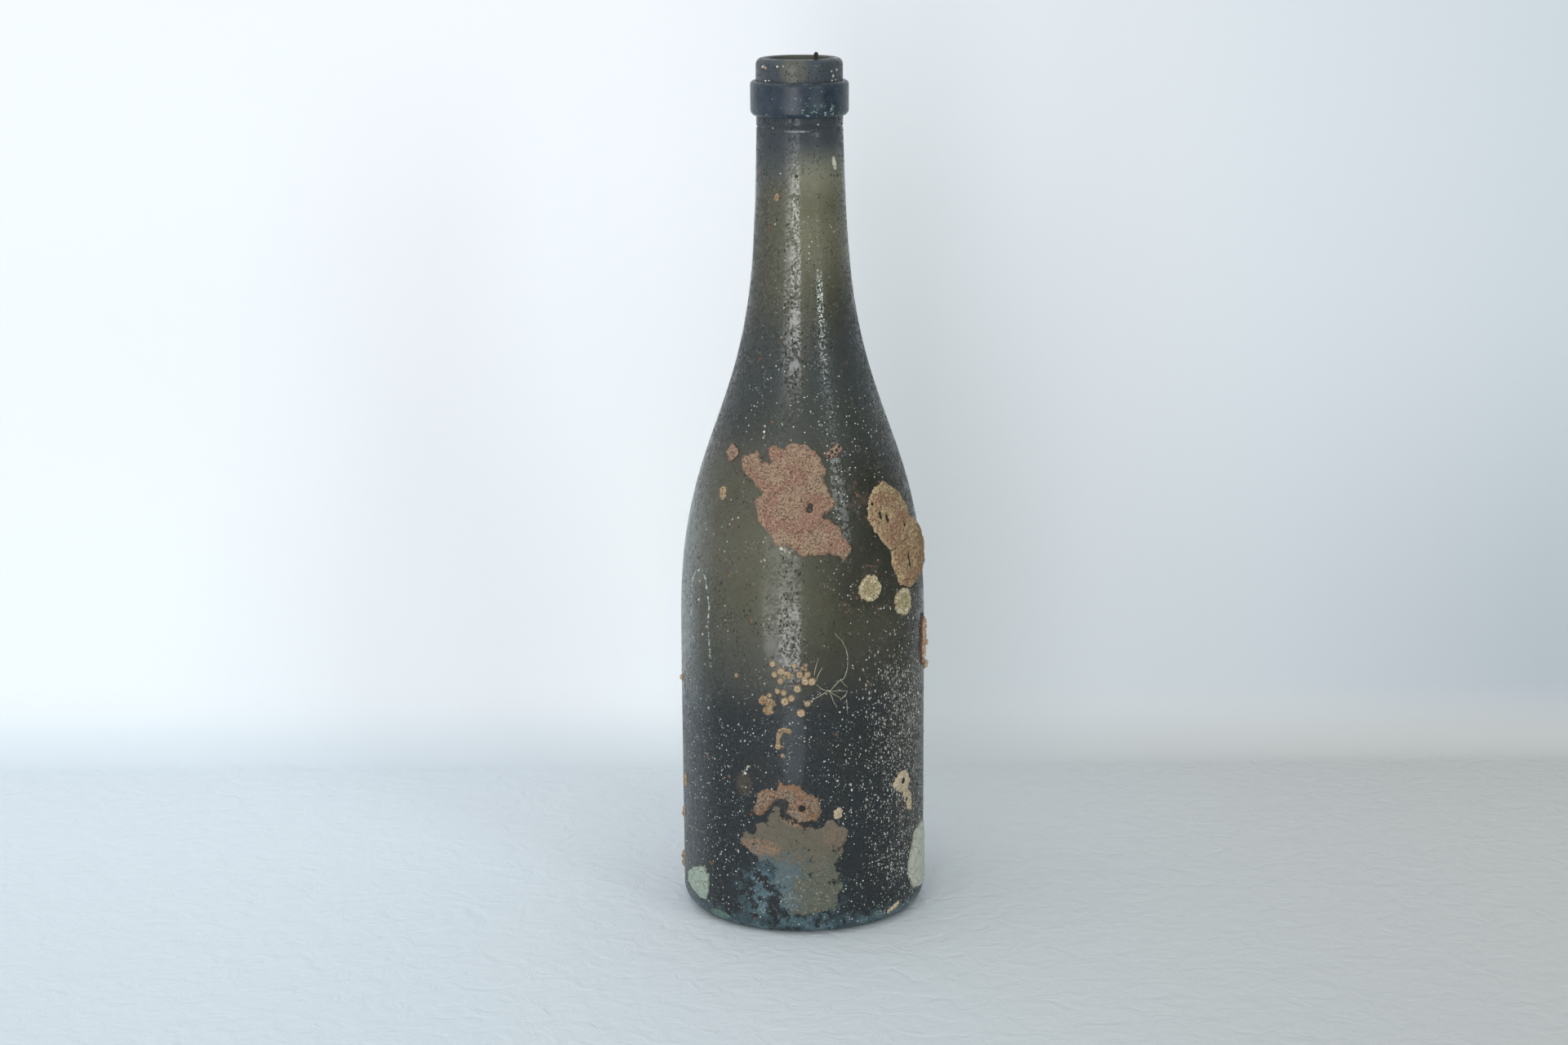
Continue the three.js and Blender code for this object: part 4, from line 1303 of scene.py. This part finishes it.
# %% Gaps in the skin
from_rim = node("Attribute", attribute_name="rim").outputs["Fac"]
near_rim = share((from_rim, 2.2, 0.2), -0.09)
near_foot = share((axes["Z"], 16, 7), -0.05)
left_over = total(patches, share(grains, 0.35), near_rim, near_foot)
skin = matt(body, grains, 0.25, 0.75)
frayed = node("MixShader", {0: share((left_over, 0.49, 0.55)), 1: node("BsdfTransparent"), 2: skin})
node("OutputMaterial", {"Surface": frayed})
FINISHES["olive_lime_skin"] = olive_skin
print("thin skin with gaps:", len(tree.nodes), "nodes")

# %% [markdown]
# Flakes are smooth lime plates with fine cracks and chipped rims, greener to the left, and pale olive to
# the right, where the colour is partly painted light.

# %% Lime flakes
lime_scale = begin(bpy.data.materials.new("pale_lime_scale"))
place = place_in_mm()
axes = node("SeparateXYZ", {0: place}).outputs
grains = node("TexNoise", {"Vector": place, "Scale": 1 / 0.5, "Detail": 4, "Roughness": 0.78})
patches = node("TexNoise", {"Vector": place, "Scale": 1 / 3.5, "Detail": 3, "Roughness": 0.6})
from_rim = node("Attribute", attribute_name="rim").outputs["Fac"]
green = over("#93a296", "#a1ab9d", (patches, 0.42, 0.6))
# Painted light: the olive of the right flake is lightened where less lamp light reaches it.
olive = over("#b3b4a6", "#bfbfb1", (patches, 0.42, 0.6))
body = over(green, olive, (axes["X"], -5, 5))
body = over(body, "#555b50", (grains, 0.46, 0.34), 0.7)
body = over(body, "#c0c2b4", (grains, 0.56, 0.7), 0.4)
lines = cracks(place, 3.4, 0.16)
body = over(body, "#484e46", lines, (patches, 0.4, 0.6), 0.7)
body = over(body, "#686d61", (from_rim, 0.4, 0), 0.6)
bumps = node("Math", {0: grains, 1: lines}, operation="SUBTRACT")
node("OutputMaterial", {"Surface": matt(body, bumps, 0.12, 0.6)})
FINISHES["pale_lime_scale"] = lime_scale
print("lime flakes:", len(tree.nodes), "nodes")

# %% [markdown]
# Threads are dry and straw grey, and crumbs are chalky grains. The worm's line is worn through
# in places, where the glass shows.

# %% Threads, crumbs and the worm's line
def grained(name, size, rough, *stops, detail=3, harsh=0.7, depth_mm=0.05, worn=None):
    FINISHES[name] = begin(bpy.data.materials.new(name))
    shade = node("TexNoise", {
        "Vector": place_in_mm(), "Scale": 1 / size, "Detail": detail, "Roughness": harsh,
    })
    surface = matt(graded(shade, *stops), shade, depth_mm, rough)
    if worn:
        left_over = share((shade, *worn))
        surface = node("MixShader", {0: left_over, 1: node("BsdfTransparent"), 2: surface})
    node("OutputMaterial", {"Surface": surface})


grained("dry_straw_thread", 1.2, 0.6, (0.35, "#8b8873"), (0.65, "#cfcbb3"))
grained("chalky_crumb", 2.5, 0.8, (0.35, "#857d6c"), (0.5, "#a8a598"), (0.65, "#dddcd2"))
grained("worn_worm_lime", 1.6, 0.7, (0.4, "#676d67"), (0.52, "#868c86"), (0.66, "#c4c7bf"),
        detail=4, harsh=0.75, depth_mm=0.1, worn=(0.42, 0.54))
print("finishes so far:", len(FINISHES))

# %% [markdown]
# Each piece takes the finish of its slot, or one of its own where it differs from the others.

# %% Which piece has which finish
BY_SLOT = {
    "pink_crust": "pink_lime_crust", "brown_crust": "brown_lime_crust", "olive_skin": "olive_lime_skin",
    "barnacle_shell": "tan_shell", "barnacle_base": "cream_shell", "yellow_crust": "yellow_lime_crust",
    "lime_flake": "pale_lime_scale",
}
BY_NAME = {
    "side_crust_dressed": "ringed_lime_crust", "lower_arch_dressed": "orange_lime_crust",
    "edge_strip_dressed": "mottled_lime_crust", "crumb_on_lip": "brown_lime_crust",
    "low_knob_dressed": "yellow_lime_crust", "orange_crumb_dressed": "brown_lime_crust",
    "hook_crust_dressed": "brown_lime_crust", "folded_lump_dressed": "brown_lime_crust",
    "pink_knob_dressed": "spongy_lime_crust", "porous_knob_dressed": "spongy_lime_crust",
    "hydroid_threads": "dry_straw_thread", "lime_crumbs": "chalky_crumb",
    "worm_tube_dressed": "worn_worm_lime",
}
print("finishes by slot:", len(BY_SLOT), "and by name:", len(BY_NAME))

# %% [markdown]
# ## Weathered glass
# Clean bottle glass would be a clear dark olive: light crosses two walls and keeps only some
# yellow and green. The volume's absorption does that. The inside is rough with dried dirt, so
# that nothing is seen sharply through it. On the outside lies what the sea left.
#
# The shader mixes two surfaces. One is the glass, smooth enough to mirror a window, but rough
# inside each pit. The other is the deposit, opaque, whose colour is stacked up from its coats.
# A share says how much of the deposit lies where.
#
# The first step lays out noises from 16 mm down to 0.5 mm, and the zones where things lie.
# The right half of the body is sandy, and the left edge is hazy, with a painted reflection of the
# room's bright left side over the haze. At the back, where the photo shows nothing, the same
# zones end along loose cloudy edges.

# %% Weathered glass: noises and zones
bottle_finish = begin(bpy.data.materials.new("weathered_olive_glass"))
place = place_in_mm()
upright = place_in_mm((1, 1, 0.55))
axes = node("SeparateXYZ", {0: place}).outputs
outside = node("Attribute", attribute_name="outside").outputs["Fac"]
broad = node("TexNoise", {"Vector": place, "Scale": 1 / 16, "Detail": 4, "Roughness": 0.6})
medium = node("TexNoise", {"Vector": place, "Scale": 1 / 4.5, "Detail": 4, "Roughness": 0.65})
fine = node("TexNoise", {"Vector": place, "Scale": 1 / 0.9, "Detail": 4, "Roughness": 0.75})
dust = node("TexNoise", {"Vector": upright, "Scale": 1 / 0.5, "Detail": 4, "Roughness": 0.8})

wander = node("Math", {0: broad, 1: 0.5}, operation="SUBTRACT")
loose = share(wander, (axes["Y"], -6, 14), 80)
low = share((total(axes["Z"], loose), 91, 66))
right = share(
    (total(axes["X"], loose), 13, 31),
    levels(axes, (6, 0.25), (15, 0.75), (45, 0.75), (60, 1.0), (72, 1.0), (88, 0.15), (108, 0.0)),
)
right_side = share((axes["X"], 4, 13), levels(axes, (88, 0.0), (102, 1.0), (140, 1.0), (154, 0.0)))
left_edge = share((axes["X"], -24, -34), levels(axes, (60, 0.2), (84, 1.0), (124, 1.0), (148, 0.5)))
lip = share((axes["Z"], RING_TOP_LEVEL - 1, RING_TOP_LEVEL + 1))
under_ring = share((axes["Z"], RING_FOOT_LEVEL - 24, RING_FOOT_LEVEL - 5))
below_ring = share((axes["Z"], RING_FOOT_LEVEL - 12, RING_FOOT_LEVEL - 20))
print("noises and zones:", len(tree.nodes), "nodes")

# %% [markdown]
# A dull film covers the glass. It is densest low down and round the lip, and thin where the
# window's streak shows. Its colour goes from grey at the left to dark olive at the right, the grey
# painted lighter towards the window as painted light, and it is near black low down.

# %% Weathered glass: the film
film = levels(
    axes, (64, 0.9), (84, 0.2), (96, 0.2), (109, 0.52), (134, 0.4), (146, 0.6), (162, 0.48),
    (184, 0.15), (212, 0.2), (226, 0.9),
)
beside_streak = most((axes["X"], -4, -6.5), (axes["X"], 2, 3.5))
dull_foot = levels(axes, (150, 0.0), (160, 0.35), (172, 0.35), (188, 0.0))
film = most(total(film, share(dull_foot, beside_streak)), share(right_side, 0.8))
film = share(film, (broad, 0.1, 0.55))

# Painted light: the film's colour is paler at the left, towards the window.
film_colour = over("#27281f", "#605f52", (axes["X"], 14, -12))
film_colour = over(film_colour, "#5e4a40", (medium, 0.52, 0.62), 0.35)
film_colour = over(film_colour, "#323839", (axes["Z"], 132, 150))
# On the neck the film's colour is partly its own and partly painted light: its pale right half paints the
# glow of light passing through the neck.
neck_film_and_glow = over("#505350", "#9b9980", (axes["X"], -6, 2))
film_colour = over(film_colour, neck_film_and_glow, (axes["Z"], 184, 200))
# Darker towards the bottom.
film_colour = over(film_colour, "#22272a", low)
# Painted reflection: pale grey at the left edge, from the room's bright left side.
film_colour = over(film_colour, "#8b9292", left_edge, 0.8)
# Painted sheen: a paler upright stripe below the body's streak, left of the front.
film_colour = over(film_colour, "#474d51", ellipse(axes, (-3.2, 58), (3.5, 14)), 0.5)
film_colour = over(film_colour, "#343b41", under_ring)
film_colour = over(film_colour, "#3e454b", lip)
film_colour = over(film_colour, "#54554f", ellipse(axes, (-1.5, LIP_LEVEL - 3), (4, 4)), lip)
print("film:", len(tree.nodes), "nodes")

# %% [markdown]
# Dark pits and fine cracks break up every highlight. Soot-like specks lie on the body and the
# neck, most of them in the window's streaks, where they show against its light.

# %% Weathered glass: pits and soot
worn = levels(axes, (88, 0.0), (98, 0.02), (150, 0.02), (170, 0.04), (186, 0.04), (215, 0.0))
pores = (node("Math", {0: fine, 1: worn}, operation="SUBTRACT"), 0.47, 0.43)
cracked = share(cracks(place, 2.4, 0.2), (medium, 0.42, 0.52))
pits = share(most(pores, cracked), (medium, 0.3, 0.5))

soot = most(specks(place, 0.8, 0.3, 0.35), specks(upright, 1.7, 0.17, 0.4))
soot = share(soot, (medium, 0.36, 0.54), (axes["Z"], 68, 84))
in_streak = most(
    ellipse(axes, (-3, 98), (4.5, 20)), ellipse(axes, (-2, 170), (4, 16)),
    share(ellipse(axes, (7, 172), (3, 12)), 0.7),
)
in_streak = share(in_streak, (medium, 0.36, 0.52), 0.75)
soot = most(soot, specks(upright, 0.95, 0.3, in_streak))
pits = most(pits, soot)
print("pits and soot:", len(tree.nodes), "nodes")

# %% [markdown]
# Light grains lie on the glass: a frost as fine as dust, mostly at the left edge, sandy grit on
# the right half, and white lime specks low down, at the right and thinly on the shoulder.

# %% Weathered glass: frost, grit and lime
frost = share((dust, 0.52, 0.72), (medium, 0.3, 0.7), total(share(left_edge, 0.6), 0.2), below_ring)
crowd = share(right, (medium, 0.34, 0.54))
grit = most(
    specks(upright, 0.5, 0.3, share(crowd, 0.8)),
    specks(upright, 0.9, 0.27, share(crowd, 0.7)),
    specks(place, 1.4, 0.2, share(crowd, 0.35)),
)
sand = share((total(dust, share(right, 0.1)), 0.61, 0.66), most(right, share(low, 0.3)))
white = most(
    specks(place, 1.9, 0.11, 0.5),
    share(specks(place, 0.75, 0.2, 0.55), (medium, 0.44, 0.6)),
)
white = share(white, most(low, right, share(below_ring, 0.55)))
dusty = most(
    share(ellipse(axes, (9, 146), (15, 11)), 0.22), share(below_ring, (broad, 0.5, 0.65), 0.15))
white = most(white, specks(place, 0.8, 0.24, dusty))
print("frost, grit and lime:", len(tree.nodes), "nodes")

# %% [markdown]
# A blue-green film lies near the foot. There are rusty dots, a brown stain beside the worm's
# line, a small spot that shines in colours, and a painted highlight: a pale line along the lower
# edge of the tool mark below the lip.

# %% Weathered glass: stains and a painted highlight
foot = ellipse(axes, (-4.5, 13), (15, 12))
heel = share((axes["Z"], 8, 2))
algae = node("TexNoise", {"Vector": place, "Scale": 1 / 3, "Detail": 5, "Roughness": 0.75})
teal = share((total(algae, share(heel, 0.08)), 0.49, 0.53), most(foot, heel))
rust = share(specks(place, 3.1, 0.16, 0.3), (medium, 0.5, 0.6), 0.8)
stain = share(ellipse(axes, (-17.3, 45.4), (2.3, 3.6)), (fine, 0.35, 0.5), 0.7)
sheen_spot = share(ellipse(axes, (-24.8, 3.2), (2.6, 1.4)), 0.7)
# Painted highlight: a pale grey line along the tool mark's lower edge, where it catches light from above.
above_mark = node("Math", {0: axes["Z"], 1: TOOL_MARK_LEVEL - 0.6}, operation="SUBTRACT")
off_mark = node("Math", {0: above_mark}, operation="ABSOLUTE")
on_mark = ellipse(axes, (-0.8, TOOL_MARK_LEVEL), (3.4, 3))
mark_highlight = share((off_mark, 0.4, 0.1), on_mark, (dust, 0.35, 0.6))
print("stains:", len(tree.nodes), "nodes")

# %% [markdown]
# The coats go over each other in the order in which the sea laid them down. The deposit covers
# as much of the glass as its strongest part does, and more where the wall is seen edge-on at
# the left, where its pale grey is a painted reflection of the room's bright left side. Inside the
# neck, above the ring, an opaque brown-grey coat is left: partly dirt, partly painted light on the
# far inner wall of the mouth.

# %% Weathered glass: the deposit
deposit_colour = film_colour
for coat, *where in (
    # Frost, paler at the left edge: partly real frost, partly painted reflection of the room's bright left
    # side.
    (over("#777a74", "#a2a8a8", left_edge), (frost, 0.02, 0.2)),
    (graded(medium, (0.35, "#33484e"), (0.6, "#5a7178")), teal),
    ("#25261f", soot),
    ("#50463a", stain),
    (graded(fine, (0.35, "#5d594e"), (0.65, "#857f72")), sand),
    (graded(fine, (0.38, "#85827a"), (0.62, "#c6c4ba")), grit),
    ("#86593f", rust),
    (graded(fine, (0.42, "#3f7a80"), (0.58, "#8a9468")), sheen_spot),
    ("#cdd0c8", white),
    ("#8d9699", mark_highlight),
):
    deposit_colour = over(deposit_colour, coat, *where)

edge_on = node("LayerWeight", {"Blend": 0.3}).outputs["Facing"]
# A real thin haze seen edge-on, whose pale grey at the left edge is a painted reflection of the room's
# bright left side.
edge_haze_and_sheen = share(edge_on, total(share(left_edge, 0.95), 0.1))
cover = most(
    film, frost, edge_haze_and_sheen, share(teal, 0.85), share(sand, 0.6), share(grit, 0.95), share(soot, 0.75),
    stain, rust, sheen_spot, white, mark_highlight,
)
inside = node("Math", {0: 1.0, 1: outside}, operation="SUBTRACT")
# Inside the mouth, an opaque brown-grey coat: partly dirt, partly painted light on the far inner wall, lit
# from above.
mouth_dirt_and_light = share((axes["Z"], 226, 240), inside, 0.7)
deposit_colour = over(deposit_colour, "#56584e", mouth_dirt_and_light)
cover = most(share(cover, outside), mouth_dirt_and_light)
print("deposit:", len(tree.nodes), "nodes")

# %% [markdown]
# The glass itself has a glaze, a thin coat that mirrors the window where the photo shows the
# streak: high on the body and all along the neck, but not in pits or at a grazing angle.

# %% Weathered glass: glass and glaze
glaze = levels(
    axes, (64, 0.2), (76, 0.7), (96, 0.65), (106, 0.05), (156, 0.05), (168, 1.0), (222, 1.0),
    (232, 0.2),
)
turned_away = node("LayerWeight", {"Blend": 0.5}).outputs["Facing"]
whole_skin = node("Math", {0: 1.0, 1: pits}, operation="SUBTRACT")
glaze = share(glaze, (turned_away, 0.45, 0.2), whole_skin, outside)
uneven = node("MapRange", {0: fine, 1: 0.3, 2: 0.7, 3: 0.04, 4: 0.11})
pitted = node("Mix", {0: pits, 2: uneven, 3: 0.6})
rough = node("Mix", {0: outside, 2: 0.5, 3: pitted})
grains = share(most(white, sand, grit), 0.8)
bumps = share(node("Math", {0: grains, 1: pits}, operation="SUBTRACT"), outside)
normal = node("Bump", {"Height": bumps, "Distance": 0.02 * MM, "Strength": 0.5})
glass = node("BsdfPrincipled", {
    "Base Color": "#f0f0e8", "Roughness": rough, "IOR": 1.52, "Transmission Weight": 1.0,
    "Coat Weight": glaze, "Coat Roughness": 0.07, "Coat IOR": 1.6, "Normal": normal, "Coat Normal": normal,
})
crumbly = most(sand, grit, white, pits, mouth_dirt_and_light)
deposit = node("BsdfPrincipled", {
    "Base Color": deposit_colour, "Roughness": node("MapRange", {0: crumbly, 3: 0.34, 4: 0.9}),
    "Specular IOR Level": 0.33, "Normal": normal,
})
both = node("MixShader", {0: cover, 1: glass, 2: deposit})
absorb = node("VolumeAbsorption", {"Color": (0.45, 0.42, 0.2, 1), "Density": 400})
node("OutputMaterial", {"Surface": both, "Volume": absorb})
bottle.data.materials.append(bottle_finish)
print("weathered glass:", len(tree.nodes), "nodes")

# %% [markdown]
# The ring is the same kind of glass under a slate blue bloom that covers most of it. Its top
# edge is crumbly, and a scraped patch at the right shows pale green.

# %% Ring glass
ring_finish = begin(bpy.data.materials.new("weathered_ring_glass"))
place = place_in_mm()
axes = node("SeparateXYZ", {0: place}).outputs
medium = node("TexNoise", {"Vector": place, "Scale": 1 / 3, "Detail": 4, "Roughness": 0.65})
fine = node("TexNoise", {"Vector": place, "Scale": 1 / 0.7, "Detail": 4, "Roughness": 0.75})
lines = node("TexNoise", {
    "Vector": place_in_mm((0.5, 0.5, 1)), "Scale": 1 / 0.7, "Detail": 4, "Roughness": 0.7,
})
scratches = share(ellipse(axes, (5.6, RING_FOOT_LEVEL + 2), (5.5, 1.9)), (lines, 0.56, 0.62))
white = specks(place, 1.4, 0.1, 0.5)
crumbly = share((axes["Z"], RING_TOP_LEVEL - 0.5, RING_TOP_LEVEL - 0.05), (fine, 0.5, 0.6), 0.7)
pits = share((fine, 0.38, 0.3), (medium, 0.4, 0.6))
bloom = graded(medium, (0.3, "#232d37"), (0.7, "#333f4b"))
bloom = over(bloom, "#7b7467", crumbly)
bloom = over(bloom, "#12161a", pits)
bloom = over(bloom, graded(fine, (0.42, "#46706c"), (0.56, "#b5c5be")), scratches)
bloom = over(bloom, "#a9b3b5", white)
bumps = node("Math", {0: fine, 1: pits}, operation="SUBTRACT")
normal = node("Bump", {"Height": bumps, "Distance": 0.06 * MM, "Strength": 0.8})
cover = most((medium, -0.5, 0.8), scratches, white, crumbly)
glass = node("BsdfPrincipled", {
    "Base Color": "#dfe6e4", "Roughness": 0.25, "IOR": 1.52, "Specular IOR Level": 0.8,
    "Transmission Weight": 1.0, "Normal": normal,
})
deposit = node("BsdfPrincipled", {
    "Base Color": bloom, "Roughness": 0.32, "Specular IOR Level": 0.32, "Normal": normal,
})
both = node("MixShader", {0: cover, 1: glass, 2: deposit})
absorb = node("VolumeAbsorption", {"Color": (0.34, 0.38, 0.3, 1), "Density": 400})
node("OutputMaterial", {"Surface": both, "Volume": absorb})
ring.data.materials.append(ring_finish)
print("ring glass:", len(tree.nodes), "nodes")

# %% [markdown]
# ## Dress every piece
# Each piece of growth takes the finish that belongs to its slot, or to its own name where it
# differs from its neighbours.

# %% Hand out the finishes
for piece in bpy.context.scene.objects:
    slot = piece.get("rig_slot")
    if piece.type == "MESH" and slot and not piece.data.materials:
        piece.data.materials.append(FINISHES[BY_NAME.get(piece.name, BY_SLOT[slot])])
print("finishes:", sorted(m.name for m in bpy.data.materials if m.users))
